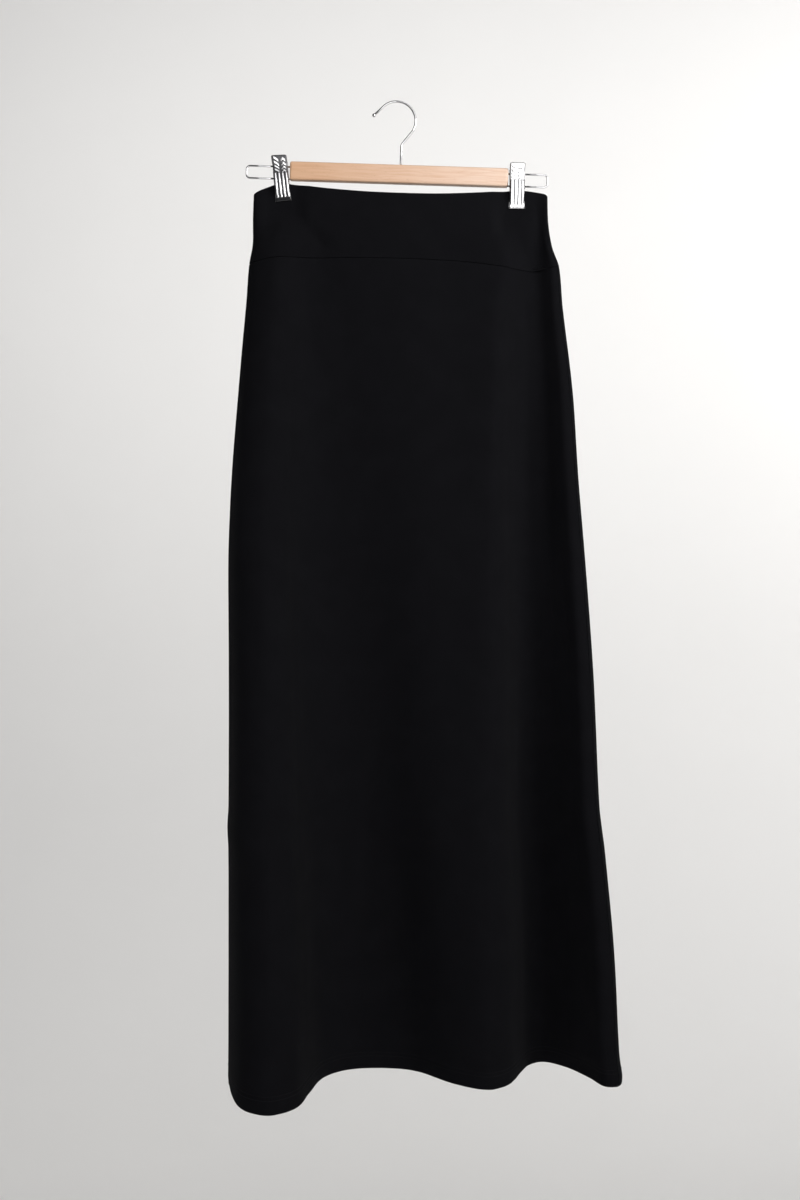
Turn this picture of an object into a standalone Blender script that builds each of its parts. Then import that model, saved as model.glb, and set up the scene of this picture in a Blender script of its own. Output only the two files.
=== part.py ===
"""Black A-line maxi skirt with a wide shaped waistband, hanging from a wooden clip hanger.

Every size below is in millimetres, and MM turns it into metres. X runs to the right of someone
facing the front of the skirt, Z is up, and "out" is the distance towards that person from the
middle plane of the hanger, so Y is minus out. The origin is the inside top of the hook's wire,
where a rail or a peg carries it. A "drop" is a distance down from the waist line.
"""
import math
from bisect import bisect_right
from collections import namedtuple

import bmesh
import bpy
from mathutils import Matrix, Vector

MM = 0.001
GAP = 0.3                   # clearance between pieces that touch on the real object

# Hang: the hanger leans to the right, and the cloth hangs straight down from it
HANGER_TILT = 1.83          # degrees
HANG_SLOPE = math.tan(math.radians(HANGER_TILT))

# Skirt
WAIST_LINE = 96.6           # from the origin down to the line between the two clips
SEAM_DROP = 85.0            # waistband seam at the centre front
HEM_DROP = 998.0
HEM_DEPTH = 20.0            # turned-up hem
HEM_STEP = 1.2              # where the wall changes from one layer to two
BAND_WALL = 2.4             # two layers of cloth
SKIRT_WALL = 1.3
HEM_WALL = 2.6
WAIST_SAG = 9.5             # top edge between the clips
LEFT_DROOP = 14.0           # top edge beyond each clip
RIGHT_DROOP = 5.0
LEFT_DROOP_CURVE = 1.3      # 1 droops in a straight line, and 2 stays level longer
RIGHT_DROOP_CURVE = 2.0
WAIST_BOW = 10.0            # half the opening at the waist
WAIST_TURN = 5.0            # radius of the cloth where it turns round at each side
LINE_BEND = 0.55            # how soon the fold lines swing from their seam place to their hem place
FACET = 19.0                # widest strip of the wall
FACET_TURN = 24.0           # degrees that one strip may turn
KNOT_POWER = 0.7            # how evenly the curve round a ring is paced between its fold lines
KNOT_LEAST = 0.5            # closest that two fold lines count as
SHARP_TURN = 50.0           # degrees past which an edge of the cloth is shaded sharp

# Clips on the hanger
CLIP_LEFT = -131.0
CLIP_RIGHT = 137.6
GRIP_WIDTH = 13.0           # half the width of cloth that a clip holds flat
GRIP_DEPTH = 27.0           # how far down it holds it
GRIP_FADE_SIDE = 19.0       # how far the pinch dies away beside it
GRIP_FADE_DOWN = 36.0       # and below it

# The waistband seam, which the cloth's weight pulls down a little under the clips
SeamPoint = namedtuple("SeamPoint", "x drop")
SEAM_LINE = (
    SeamPoint(-170.0, 94.0),
    SeamPoint(-128.0, 87.5),
    SeamPoint(-50.0, 85.0),
    SeamPoint(65.0, 86.0),
    SeamPoint(138.0, 92.5),
    SeamPoint(186.0, 87.0),
)

# The widest points of the skirt, left and right, at each drop
Side = namedtuple("Side", "drop left right")
SIDES = (
    Side(0, -163.8, 172.4),
    Side(32, -164.8, 173.4),
    Side(60, -165.2, 178.0),
    Side(84, -169.2, 185.8),
    Side(130, -171.6, 189.6),
    Side(230, -179.0, 200.2),
    Side(330, -185.2, 206.2),
    Side(420, -187.4, 212.8),
    Side(560, -184.9, 221.6),
    Side(700, -183.6, 226.8),
    Side(724, -184.5, 229.2),
    Side(750, -182.9, 232.4),
    Side(860, -181.0, 242.2),
    Side(970, -179.8, 247.0),
    Side(990, -179.6, 249.7),
    Side(998, -179.5, 249.6),
)

# Fold lines of the front panel, from the left side seam to the right one. "across" is the share
# of the way from the left side to the right side, at the waistband seam and at the hem.
Fold = namedtuple("Fold", "name across_seam out_seam across_hem out_hem")
FRONT_FOLDS = (
    Fold("left side seam", 0.004, 1.0, 0.000, 96.0),
    Fold("left turn", 0.023, 8.0, 0.045, 156.0),
    Fold("left crest", 0.077, 15.0, 0.115, 173.0),
    Fold("left shoulder", 0.116, 14.0, 0.178, 152.0),
    Fold("left flank", 0.153, 9.0, 0.203, 112.0),
    Fold("left foot", 0.184, 6.0, 0.233, 66.0),
    Fold("valley, near side", 0.223, 4.5, 0.292, 41.0),
    Fold("valley", 0.261, 6.0, 0.381, 32.0),
    Fold("valley, far side", 0.319, 9.0, 0.465, 38.0),
    Fold("middle rise", 0.486, 12.0, 0.553, 69.0),
    Fold("right crest, near side", 0.678, 13.0, 0.616, 84.0),
    Fold("right crest", 0.794, 17.0, 0.660, 85.0),
    Fold("right shoulder", 0.826, 16.0, 0.707, 67.0),
    Fold("right flank", 0.851, 11.0, 0.742, 32.0),
    Fold("right foot", 0.875, 5.0, 0.770, 8.0),
    Fold("trough", 0.902, 0.0, 0.812, -3.0),
    Fold("right rise", 0.930, 1.0, 0.870, 13.5),
    Fold("right lift", 0.956, 5.0, 0.917, 43.0),
    Fold("right roll", 0.976, 8.0, 0.947, 66.0),
    Fold("right side seam", 0.990, 6.0, 0.985, 64.0),
)

# Fold lines of the back panel, which go on from the right side seam back to the left one
BACK_FOLDS = (
    Fold("right edge", 1.000, 0.0, 1.000, 44.0),
    Fold("right corner", 0.990, -6.0, 0.991, 12.0),
    Fold("right flat", 0.953, -9.5, 0.945, -8.0),
    Fold("behind the trough", 0.897, -10.5, 0.814, -11.5),
    Fold("right pleat, near foot", 0.865, -10.0, 0.747, -9.0),
    Fold("right pleat", 0.810, -6.5, 0.658, 24.0),
    Fold("right pleat, far foot", 0.746, -10.0, 0.563, -8.0),
    Fold("back middle", 0.490, -10.5, 0.381, -11.0),
    Fold("left pleat, near foot", 0.184, -10.0, 0.227, -8.0),
    Fold("left pleat, near side", 0.147, -7.0, 0.176, 36.0),
    Fold("left pleat", 0.108, -5.5, 0.115, 58.0),
    Fold("left pleat, far side", 0.068, -7.0, 0.064, 34.0),
    Fold("left pleat, far foot", 0.037, -9.5, 0.027, -5.0),
    Fold("left corner", 0.009, -6.5, -0.008, 3.0),
    Fold("left edge", 0.000, -2.5, -0.014, 45.0),
)
FOLDS = FRONT_FOLDS + BACK_FOLDS
RIGHT_SEAM = len(FRONT_FOLDS) - 1

BAND_LEVELS = (0.0, 0.12, 0.26, 0.42, 0.60, 0.80, 1.0)
PANEL_ROWS = 20

# Hanger, measured along its own tilted frame
BAR_CENTRE_X = 5.0
BAR_CENTRE_Z = -82.6
BAR_LENGTH = 250.0
BAR_HEIGHT = 21.4
BAR_THICKNESS = 9.0
BAR_ROUNDING = 2.5
STEM_X = 6.5
STEM_TOP = -51.0
STEM_SET = 13.0             # how deep the stem sits in the bar
NECK_BEND = 8.0             # radius where the stem turns towards the hook
NECK_TURN = 33.0            # degrees
NECK_STEPS = 3
HOOK_WIRE = 1.2             # radius
HOOK_RADIUS = 22.0          # to the middle of the wire
HOOK_START = -28.0          # degrees round the hook's arc, from +X
HOOK_END = 135.0
HOOK_STEPS = 18
HOOK_TIP = 14.5             # straight length after the arc
HOOK_BALL = 2.1             # radius of the ball at the tip
BALL_STEPS = 8
BALL_END = 0.3              # radius where the ball closes
LOOP_WIRE = 1.0             # radius
LOOP_Z = -84.7
LOOP_SPREAD = 14.0          # between the loop's two runs
LOOP_REACH_LEFT = 49.5      # past the end of the bar
LOOP_REACH_RIGHT = 45.0
LOOP_CORNER = 4.0
CORNER_STEPS = 4
LOOP_SET = 10.0             # how deep the wires sit in the bar

# Clip jaws, of ribbed sheet. z is measured from the wire that carries the clip, "out" is the inner
# face of the front jaw, "flare" widens it, and "rib" is the share of the ribs' height. The back jaw
# is its mirror.
Clip = namedtuple("Clip", "side x lean")
CLIPS = (Clip("left", -131.2, -7.5), Clip("right", 140.0, -1.0))
Profile = namedtuple("Profile", "z out flare rib")
JAW_PROFILE = (
    Profile(9.8, 9.4, 0.0, 0.5),
    Profile(6.6, 7.2, 0.0, 1.0),
    Profile(3.0, 4.6, 0.0, 1.0),
    Profile(0.0, 3.7, 0.0, 1.0),
    Profile(-5.5, 4.5, 0.0, 1.0),
    Profile(-13.0, 6.2, 0.0, 1.0),
    Profile(-21.5, 6.2, 0.0, 1.0),
    Profile(-29.5, 4.6, 0.0, 1.0),
    Profile(-34.5, 2.85, 0.1, 0.15),
    Profile(-38.4, 2.85, 0.5, 0.0),
    Profile(-40.0, 3.7, 0.7, 0.0),
)
JAW_SHEET = 0.8
JAW_HALF_WIDTH = 8.0        # inside the front jaw's ears
JAW_RIBS = 4
JAW_RIB_HEIGHT = 0.9
EAR_TOP = 3.2
EAR_BOTTOM = -5.5
EAR_REACH = 2.7             # past the wire
SPRING_RADIUS = 3.4
SPRING_GROOVE = 0.6
SPRING_TURNS = 6
SPRING_PLAY = 1.0           # at each end, because the jaws lean and the spring does not
SPRING_STEPS = 12
HOLE_STEPS = 16


def mix(first, second, share):
    return first + (second - first) * share


def ease(share):
    share = min(1.0, max(0.0, share))
    return share * share * (3.0 - 2.0 * share)


def smooth_through(knots, values, at):
    """Read, at one place, the smooth curve that passes through the values at the knots."""
    span = min(len(knots) - 2, max(0, bisect_right(knots, at) - 1))

    def slope(i):
        before, after = max(0, i - 1), min(len(knots) - 1, i + 1)
        return (values[after] - values[before]) / (knots[after] - knots[before])

    length = knots[span + 1] - knots[span]
    share = (at - knots[span]) / length
    first, second = values[span], values[span + 1]
    bend = share * (1.0 - share) * length
    return mix(first, second, ease(share)) + bend * (
        (1.0 - share) * slope(span) - share * slope(span + 1))


def side_at(drop, side):
    return smooth_through([s.drop for s in SIDES], [getattr(s, side) for s in SIDES], drop)


def fold_ring(level):
    """Place of each fold line at one height: level 0 is the waistband seam and 1 is the hem."""
    drop = mix(SEAM_DROP, HEM_DROP, level)
    left, right = side_at(drop, "left"), side_at(drop, "right")
    swing = level ** LINE_BEND
    return [Vector((mix(left, right, mix(f.across_seam, f.across_hem, swing)),
                    mix(f.out_seam, f.out_hem, level))) for f in FOLDS]


def waist_half(across):
    """Half the opening at the top edge, where two layers bow apart and turn round at each side."""
    width = SIDES[0].right - SIDES[0].left
    inside = min(across, 1.0 - across) * width
    if inside < WAIST_TURN:
        return math.sqrt(WAIST_TURN ** 2 - (WAIST_TURN - inside) ** 2)
    return mix(WAIST_TURN, WAIST_BOW, ease(2.0 * inside / width))


def band_ring(level):
    """Place of each fold line in the waistband: level 0 is the top edge and 1 is the seam."""
    left, right = side_at(level * SEAM_DROP, "left"), side_at(level * SEAM_DROP, "right")
    ring = []
    for number, fold in enumerate(FOLDS):
        half = waist_half(fold.across_seam)
        out = mix(half if number <= RIGHT_SEAM else -half, fold.out_seam, ease(level))
        ring.append(Vector((mix(left, right, fold.across_seam), out)))
    return ring


def round_ring(ring, steps):
    """Points along the smooth closed curve through a ring, with the given steps in each span."""
    count = len(ring)
    around = [ring[i % count] for i in range(-2, count + 3)]
    knots = [0.0]
    for here, there in zip(around, around[1:]):
        knots.append(knots[-1] + max(KNOT_LEAST, (there - here).length) ** KNOT_POWER)
    points = []
    for span in range(count):
        start, end = knots[span + 2], knots[span + 3]
        for step in range(steps[span]):
            at = mix(start, end, step / steps[span])
            points.append(Vector([smooth_through(knots, [p[axis] for p in around], at)
                                  for axis in (0, 1)]))
    return points


def steps_round(ring):
    """How many strips each span needs, from its length and from how much it turns."""
    count = len(ring)
    steps = []
    for i in range(count):
        before = ring[i] - ring[i - 1]
        here = ring[(i + 1) % count] - ring[i]
        after = ring[(i + 2) % count] - ring[(i + 1) % count]
        turn = (abs(before.angle_signed(here)) + abs(here.angle_signed(after))) / 2.0
        steps.append(max(1, round(here.length / FACET + math.degrees(turn) / FACET_TURN / 2.0)))
    return steps


def held_flat(x, drop):
    """How firmly the clips hold the cloth at one place, from 0 to 1."""
    beside = min(abs(x - CLIP_LEFT), abs(x - CLIP_RIGHT)) - GRIP_WIDTH
    below = drop - GRIP_DEPTH
    return (1.0 - ease(beside / GRIP_FADE_SIDE)) * (1.0 - ease(below / GRIP_FADE_DOWN))


def waist_drop(x):
    """Height of the top edge: it sags between the clips and droops past them."""
    middle = (CLIP_LEFT + CLIP_RIGHT) / 2.0
    half = (CLIP_RIGHT - CLIP_LEFT) / 2.0
    past = abs(x - middle) - half
    if past <= 0.0:
        return WAIST_SAG * (1.0 - ((x - middle) / half) ** 2)
    if x < middle:
        return LEFT_DROOP * (past / (CLIP_LEFT - SIDES[0].left)) ** LEFT_DROOP_CURVE
    return RIGHT_DROOP * (past / (SIDES[0].right - CLIP_RIGHT)) ** RIGHT_DROOP_CURVE


def seam_drop(x):
    return smooth_through([s.x for s in SEAM_LINE], [s.drop for s in SEAM_LINE], x)


def place(x, out, z):
    return Vector((x, -out, z)) * MM


def outward(ring):
    """Unit vectors that point out of a closed ring of (x, out) points."""
    result = []
    for i, point in enumerate(ring):
        along = (ring[(i + 1) % len(ring)] - ring[i - 1]).normalized()
        result.append(Vector((-along.y, along.x)))
    return result


def ring_rows(levels, ring_at, drop_at, wall_at):
    """Outer and inner points of the whole tube, one closed row for each level."""
    outer, inner = [], []
    for level in levels:
        ring = ring_at(level)
        drops = [drop_at(p.x, level) for p in ring]
        heights = [-WAIST_LINE - drop - HANG_SLOPE * p.x for p, drop in zip(ring, drops)]
        normals = outward(ring)
        wall = wall_at(level)
        outer.append([place(p.x, p.y, z) for p, z in zip(ring, heights)])
        inner.append([place(*(p - n * wall), z) for p, n, z in zip(ring, normals, heights)])
    return outer, inner


def cut_panel(rows, first, last):
    """One panel of the tube, from column first to column last, trimmed for the seam gaps."""
    panel = []
    for row in rows:
        points = [row[i % len(row)].copy() for i in range(first, last + 1)]
        trim = GAP / 2.0 * MM
        points[0] += (points[1] - points[0]).normalized() * trim
        points[-1] += (points[-2] - points[-1]).normalized() * trim
        panel.append(points)
    return panel


def add_object(name, mesh, material, parent=None):
    data = bpy.data.meshes.new(name)
    mesh.to_mesh(data)
    mesh.free()
    return add_data(name, data, material, parent)


def add_data(name, data, material, parent=None):
    data.materials.append(material)
    obj = bpy.data.objects.new(name, data)
    parts.objects.link(obj)
    obj.parent = parent
    return obj


def add_wall(name, outer, inner, material):
    """A closed wall between two grids of points, every strip split the same way on both faces."""
    mesh = bmesh.new()
    outer = [[mesh.verts.new(p) for p in row] for row in outer]
    inner = [[mesh.verts.new(p) for p in row] for row in inner]
    rows, columns = len(outer), len(outer[0])
    for r in range(rows - 1):
        for c in range(columns - 1):
            for grid in (outer, inner):
                a, b = grid[r][c], grid[r + 1][c]
                d, e = grid[r + 1][c + 1], grid[r][c + 1]
                mesh.faces.new((a, b, d))
                mesh.faces.new((a, d, e))
    rim = [(0, c) for c in range(columns)]
    rim += [(r, columns - 1) for r in range(1, rows)]
    rim += [(rows - 1, c) for c in range(columns - 2, -1, -1)]
    rim += [(r, 0) for r in range(rows - 2, 0, -1)]
    for (r, c), (s, d) in zip(rim, rim[1:] + rim[:1]):
        mesh.faces.new((outer[r][c], outer[s][d], inner[s][d], inner[r][c]))
    bmesh.ops.recalc_face_normals(mesh, faces=mesh.faces)
    obj = add_object(name, mesh, material)
    obj.data.shade_smooth()
    obj.data.set_sharp_from_angle(angle=math.radians(SHARP_TURN))


def front_and_back(name, rows, right_column, material):
    """Cut a tube's outer and inner rows at the side seams, and add its two panels."""
    outer, inner = rows
    columns = len(outer[0])
    for side, first, last in (("front", 0, right_column), ("back", right_column, columns)):
        add_wall(f"{name}_{side}", cut_panel(outer, first, last),
                 cut_panel(inner, first, last), material)


def make_waistband(steps, right_column, material):
    pinch = GAP / 2.0 + BAND_WALL

    def ring_at(level):
        points = round_ring(band_ring(level), steps)
        for number, point in enumerate(points):
            if number not in (0, right_column):
                flat = pinch if number < right_column else -pinch
                point.y = mix(point.y, flat, held_flat(point.x, level * SEAM_DROP))
        return points

    def drop_at(x, level):
        return mix(waist_drop(x), seam_drop(x) - GAP / 2.0, level)

    rows = ring_rows(BAND_LEVELS, ring_at, drop_at, lambda level: BAND_WALL)
    front_and_back("waistband", rows, right_column, material)


def make_skirt(steps, right_column, material):
    length = HEM_DROP - SEAM_DROP
    hem_top = 1.0 - HEM_DEPTH / length
    levels = [hem_top * row / PANEL_ROWS for row in range(PANEL_ROWS + 1)]
    levels += [hem_top + HEM_STEP / length, 1.0]

    def ring_at(level):
        return round_ring(fold_ring(level), steps)

    def drop_at(x, level):
        return mix(seam_drop(x) + GAP / 2.0, HEM_DROP, level)

    def wall_at(level):
        return HEM_WALL if level > hem_top else SKIRT_WALL

    front_and_back("skirt", ring_rows(levels, ring_at, drop_at, wall_at), right_column, material)


def make_cloth(material):
    steps = steps_round(fold_ring(1.0))
    right_column = sum(steps[:RIGHT_SEAM])
    make_waistband(steps, right_column, material)
    make_skirt(steps, right_column, material)


def add_wire(name, points, radius, material, parent, swell=None):
    """A bent wire through the points; swell gives its thickness at each, as a share."""
    curve = bpy.data.curves.new(name, "CURVE")
    curve.dimensions = "3D"
    curve.bevel_depth = radius * MM
    curve.bevel_resolution = 2
    curve.use_fill_caps = True
    spline = curve.splines.new("POLY")
    spline.points.add(len(points) - 1)
    for number, (x, z) in enumerate(points):
        spline.points[number].co = (*place(x, 0.0, z), 1.0)
        spline.points[number].radius = swell[number] if swell else 1.0
    add_data(name, curve, material, parent)


def arc(centre, radius, start, end, steps):
    """Points (x, z) along an arc, between two angles in degrees."""
    angles = [math.radians(mix(start, end, step / steps)) for step in range(steps + 1)]
    return [(centre[0] + radius * math.cos(a), centre[1] + radius * math.sin(a)) for a in angles]


def make_hook(material, hanger):
    """Stem, neck, bow and a straight end with a ball on it, as one wire."""
    stem_foot = BAR_CENTRE_Z + BAR_HEIGHT / 2.0 - STEM_SET
    bend_at = (STEM_X + NECK_BEND, STEM_TOP)
    neck = arc(bend_at, NECK_BEND, 180.0, 180.0 - NECK_TURN, NECK_STEPS)
    bow = arc((0.0, HOOK_WIRE - HOOK_RADIUS), HOOK_RADIUS, HOOK_START, HOOK_END, HOOK_STEPS)
    points = [(STEM_X, stem_foot)] + neck + bow
    swell = [1.0] * len(points)
    end_x, end_z = bow[-1]
    heading = math.radians(HOOK_END + 90.0)
    for step in range(BALL_STEPS + 1):
        angle = math.pi * step / BALL_STEPS
        reach = HOOK_TIP - HOOK_BALL * math.cos(angle)
        points.append((end_x + reach * math.cos(heading), end_z + reach * math.sin(heading)))
        least = HOOK_WIRE if step < BALL_STEPS / 2 else BALL_END
        swell.append(max(least, HOOK_BALL * math.sin(angle)) / HOOK_WIRE)
    add_wire("hanger_hook", points, HOOK_WIRE, material, hanger, swell)


def make_loops(material, hanger):
    half = LOOP_SPREAD / 2.0
    for side, sign, reach in (("left", -1.0, LOOP_REACH_LEFT), ("right", 1.0, LOOP_REACH_RIGHT)):
        end = BAR_CENTRE_X + sign * BAR_LENGTH / 2.0
        start, far = end - sign * LOOP_SET, end + sign * reach
        corner = far - sign * LOOP_CORNER
        top, foot = LOOP_Z + half - LOOP_CORNER, LOOP_Z - half + LOOP_CORNER
        upper = arc((corner, top), LOOP_CORNER, 90.0, 0.0, CORNER_STEPS)
        lower = arc((corner, foot), LOOP_CORNER, 0.0, -90.0, CORNER_STEPS)
        bend = [(corner + sign * (x - corner), z) for x, z in upper + lower]
        points = [(start, LOOP_Z + half)] + bend + [(start, LOOP_Z - half)]
        add_wire("wire_loop_" + side, points, LOOP_WIRE, material, hanger)


def cylinder(mesh, radius, length, centre, axis):
    """A round bar added to a mesh, along X or Z."""
    turn = Matrix.Rotation(math.radians(90.0), 4, "Y") if axis == "X" else Matrix.Identity(4)
    bmesh.ops.create_cone(
        mesh, cap_ends=True, segments=HOLE_STEPS, radius1=radius * MM, radius2=radius * MM,
        depth=length * MM, matrix=Matrix.Translation(place(*centre)) @ turn)


def add_cutter(name, mesh, parent):
    data = bpy.data.meshes.new(name)
    mesh.to_mesh(data)
    mesh.free()
    obj = bpy.data.objects.new(name, data)
    cutters.objects.link(obj)
    obj.parent = parent
    obj.hide_render = True
    obj.display_type = "WIRE"
    return obj


def cut_away(obj, cutter):
    boolean = obj.modifiers.new("Holes", "BOOLEAN")
    boolean.operation = "DIFFERENCE"
    boolean.solver = "EXACT"
    boolean.object = cutter


def make_bar(material, hanger):
    mesh = bmesh.new()
    size = Matrix.Diagonal((BAR_LENGTH * MM, BAR_THICKNESS * MM, BAR_HEIGHT * MM, 1.0))
    centre = Matrix.Translation(place(BAR_CENTRE_X, 0.0, BAR_CENTRE_Z))
    bmesh.ops.create_cube(mesh, size=1.0, matrix=centre @ size)
    bar = add_object("hanger_bar", mesh, material, hanger)
    bevel = bar.modifiers.new("Rounded edges", "BEVEL")
    bevel.width = BAR_ROUNDING * MM
    bevel.segments = 3
    holes = bmesh.new()
    bar_top = BAR_CENTRE_Z + BAR_HEIGHT / 2.0
    cylinder(holes, HOOK_WIRE + GAP, 2.0 * (STEM_SET + GAP), (STEM_X, 0.0, bar_top), "Z")
    for sign in (-1.0, 1.0):
        for run in (-0.5, 0.5):
            spot = (BAR_CENTRE_X + sign * BAR_LENGTH / 2.0, 0.0, LOOP_Z + run * LOOP_SPREAD)
            cylinder(holes, LOOP_WIRE + GAP, 2.0 * (LOOP_SET + GAP), spot, "X")
    cut_away(bar, add_cutter("bar_holes", holes, hanger))


def make_jaw(name, facing, half_width, material, pivot, wire_hole):
    """One jaw: a ribbed sheet with an ear down each side, holed for the wire.

    facing is 1 for the front jaw and -1 for the back jaw.
    """
    mesh = bmesh.new()
    columns = JAW_RIBS * 2
    bmesh.ops.create_grid(mesh, x_segments=columns, y_segments=len(JAW_PROFILE) - 1, size=1.0)
    ear_edges = []
    places = {}
    for vert in mesh.verts:
        column = round((vert.co.x + 1.0) / 2.0 * columns)
        row = JAW_PROFILE[round((vert.co.y + 1.0) / 2.0 * (len(JAW_PROFILE) - 1))]
        rib = JAW_RIB_HEIGHT * row.rib * (column % 2)
        half = half_width + row.flare
        places[vert] = (half * (2.0 * column / columns - 1.0), row.out + rib, row.z)
    for edge in mesh.edges:
        ends = [places[v] for v in edge.verts]
        if all(abs(x) >= half_width and EAR_BOTTOM <= z <= EAR_TOP for x, out, z in ends):
            ear_edges.append(edge)
    for vert, (x, out, z) in places.items():
        vert.co = place(x, facing * out, z)
    new = bmesh.ops.extrude_edge_only(mesh, edges=ear_edges)["geom"]
    for vert in new:
        if isinstance(vert, bmesh.types.BMVert):
            vert.co.y = facing * EAR_REACH * MM
    bmesh.ops.recalc_face_normals(mesh, faces=mesh.faces)
    front = max(mesh.faces, key=lambda face: -facing * face.calc_center_median().y)
    if front.normal.y * facing > 0.0:
        bmesh.ops.reverse_faces(mesh, faces=mesh.faces)
    jaw = add_object(name, mesh, material, pivot)
    sheet = jaw.modifiers.new("Sheet", "SOLIDIFY")
    sheet.thickness = JAW_SHEET * MM
    sheet.offset = 1.0
    sheet.use_even_offset = True
    cut_away(jaw, wire_hole)


def make_spring(name, half_length, spot, material, hanger):
    """The coiled spring between the jaws' ears, as a grooved sleeve round the wire."""
    pitch = 2.0 * half_length / SPRING_TURNS
    outside = []
    for turn in range(SPRING_TURNS):
        top = half_length - pitch * turn
        outside += [(SPRING_RADIUS - SPRING_GROOVE, top), (SPRING_RADIUS, top - pitch / 2.0)]
    outside.append((SPRING_RADIUS - SPRING_GROOVE, -half_length))
    inside = [(LOOP_WIRE + GAP, -half_length), (LOOP_WIRE + GAP, half_length)]
    mesh = bmesh.new()
    verts = [mesh.verts.new(Vector((r, 0.0, z)) * MM) for r, z in outside + inside]
    for first, second in zip(verts, verts[1:] + verts[:1]):
        mesh.edges.new((first, second))
    spring = add_object(name, mesh, material, hanger)
    spring.location = place(*spot)
    spring.rotation_euler.y = math.radians(90.0)
    screw = spring.modifiers.new("Turned", "SCREW")
    screw.steps = SPRING_STEPS
    screw.render_steps = SPRING_STEPS
    screw.use_merge_vertices = True
    screw.merge_threshold = 0.00001


def make_clips(material, spring_material, hanger):
    """Both clips: each leans on the wire that carries it, but its spring stays in line with it."""
    back_half = JAW_HALF_WIDTH - GAP - JAW_SHEET
    for clip in CLIPS:
        name = "clip_" + clip.side
        spot = (clip.x, 0.0, LOOP_Z + LOOP_SPREAD / 2.0)
        pivot = bpy.data.objects.new(name, None)
        parts.objects.link(pivot)
        pivot.parent = hanger
        pivot.location = place(*spot)
        pivot.rotation_euler.y = math.radians(clip.lean)
        hole = bmesh.new()
        cylinder(hole, LOOP_WIRE + GAP, 4.0 * JAW_HALF_WIDTH, spot, "X")
        wire_hole = add_cutter(name + "_hole", hole, hanger)
        make_jaw(name + "_front", 1.0, JAW_HALF_WIDTH, material, pivot, wire_hole)
        make_jaw(name + "_back", -1.0, back_half, material, pivot, wire_hole)
        make_spring(name + "_spring", back_half - SPRING_PLAY, spot, spring_material, hanger)


def principled(name, colour, roughness, metallic=0.0):
    material = bpy.data.materials.new(name)
    material.use_nodes = True
    shader = material.node_tree.nodes["Principled BSDF"]
    shader.inputs["Base Color"].default_value = (*colour, 1.0)
    shader.inputs["Roughness"].default_value = roughness
    shader.inputs["Metallic"].default_value = metallic
    material.diffuse_color = (*colour, 1.0)
    return material


for old in list(bpy.data.objects):
    bpy.data.objects.remove(old, do_unlink=True)

parts = bpy.data.collections.new("maxi_skirt")
cutters = bpy.data.collections.new("cutters")
bpy.context.scene.collection.children.link(parts)
bpy.context.scene.collection.children.link(cutters)

black_knit = principled("black_knit", (0.007, 0.007, 0.009), 0.75)
beech = principled("beech", (0.76, 0.52, 0.34), 0.5)
chrome = principled("chrome", (0.82, 0.82, 0.84), 0.12, 1.0)
spring_steel = principled("spring_steel", (0.35, 0.33, 0.32), 0.35, 1.0)

make_cloth(black_knit)
hanger_frame = bpy.data.objects.new("hanger_frame", None)
parts.objects.link(hanger_frame)
hanger_frame.rotation_euler.y = math.radians(HANGER_TILT)
make_bar(beech, hanger_frame)
make_hook(chrome, hanger_frame)
make_loops(chrome, hanger_frame)
make_clips(chrome, spring_steel, hanger_frame)
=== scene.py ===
"""The looks of a black A-line maxi skirt that hangs from a wooden clip hanger.

Sizes are in millimetres, and MM turns them into metres. X runs to the right of someone facing the
front of the skirt, Z is up, and "out" is the distance towards that person from the middle plane of
the hanger, so Y is minus out. A "drop" is a distance down from the waist line.
"""
import math
from bisect import bisect_right
from collections import namedtuple

import bmesh
import bpy
from mathutils import Matrix, Vector, noise


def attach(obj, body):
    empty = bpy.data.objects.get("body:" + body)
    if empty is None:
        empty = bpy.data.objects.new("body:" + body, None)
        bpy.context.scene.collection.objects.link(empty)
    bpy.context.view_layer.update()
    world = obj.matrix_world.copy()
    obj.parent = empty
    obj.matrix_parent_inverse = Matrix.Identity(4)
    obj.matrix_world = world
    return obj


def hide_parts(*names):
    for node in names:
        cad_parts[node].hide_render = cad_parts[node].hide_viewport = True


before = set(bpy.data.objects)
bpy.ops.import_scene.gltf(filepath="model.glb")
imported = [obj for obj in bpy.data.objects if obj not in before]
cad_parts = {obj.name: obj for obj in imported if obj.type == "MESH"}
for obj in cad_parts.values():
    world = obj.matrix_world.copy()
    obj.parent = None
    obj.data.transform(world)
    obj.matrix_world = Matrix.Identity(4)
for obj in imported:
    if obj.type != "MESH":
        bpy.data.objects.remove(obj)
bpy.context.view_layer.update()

# Skirt panels, front and back: A-line pieces of black double knit, 1.1 mm thick, sewn together
# down both sides, with a seam allowance at the waistband and a 20 mm hem, both turned up inside.
# They hang in deep soft folds that open towards the hem, and the clips drag a few creases.
MM = 0.001
SEAM_GAP = 0.3
CLOTH = 1.1  # one layer
HANG_LEAN = 1.83  # degrees that the hanger leans to the right
HANG_SLOPE = math.tan(math.radians(HANG_LEAN))
WAIST_LINE = 96.6  # from the origin down to the line between the two clips
SEAM_DROP = 85.0  # waistband seam at the centre front
HEM_DROP = 998.0
HEM_DEPTH = 20.0
HEM_WALL = 2.6  # the turned-up hem, two layers and the air between them
LINE_BEND = 0.55  # how soon the fold lines swing across to their hem place
KNOT_POWER = 0.7  # keeps the curve round the folds from overshooting
KNOT_LEAST = 0.5
STRIP = 4.6  # widest strip of the panel at the hem
ROW = 5.0  # height of one row
EDGE_STRIPS = (0.2, 0.5, 0.9, 1.4, 2.2, 3.4)  # narrower strips beside a seam
SEAM_ROLL = 0.9  # radius of the cloth where it turns in to a seam
ALLOWANCE = 6.0  # of the waistband seam, turned up inside the band
ALLOWANCE_INSET = 2.8  # behind the band's two layers
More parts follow.
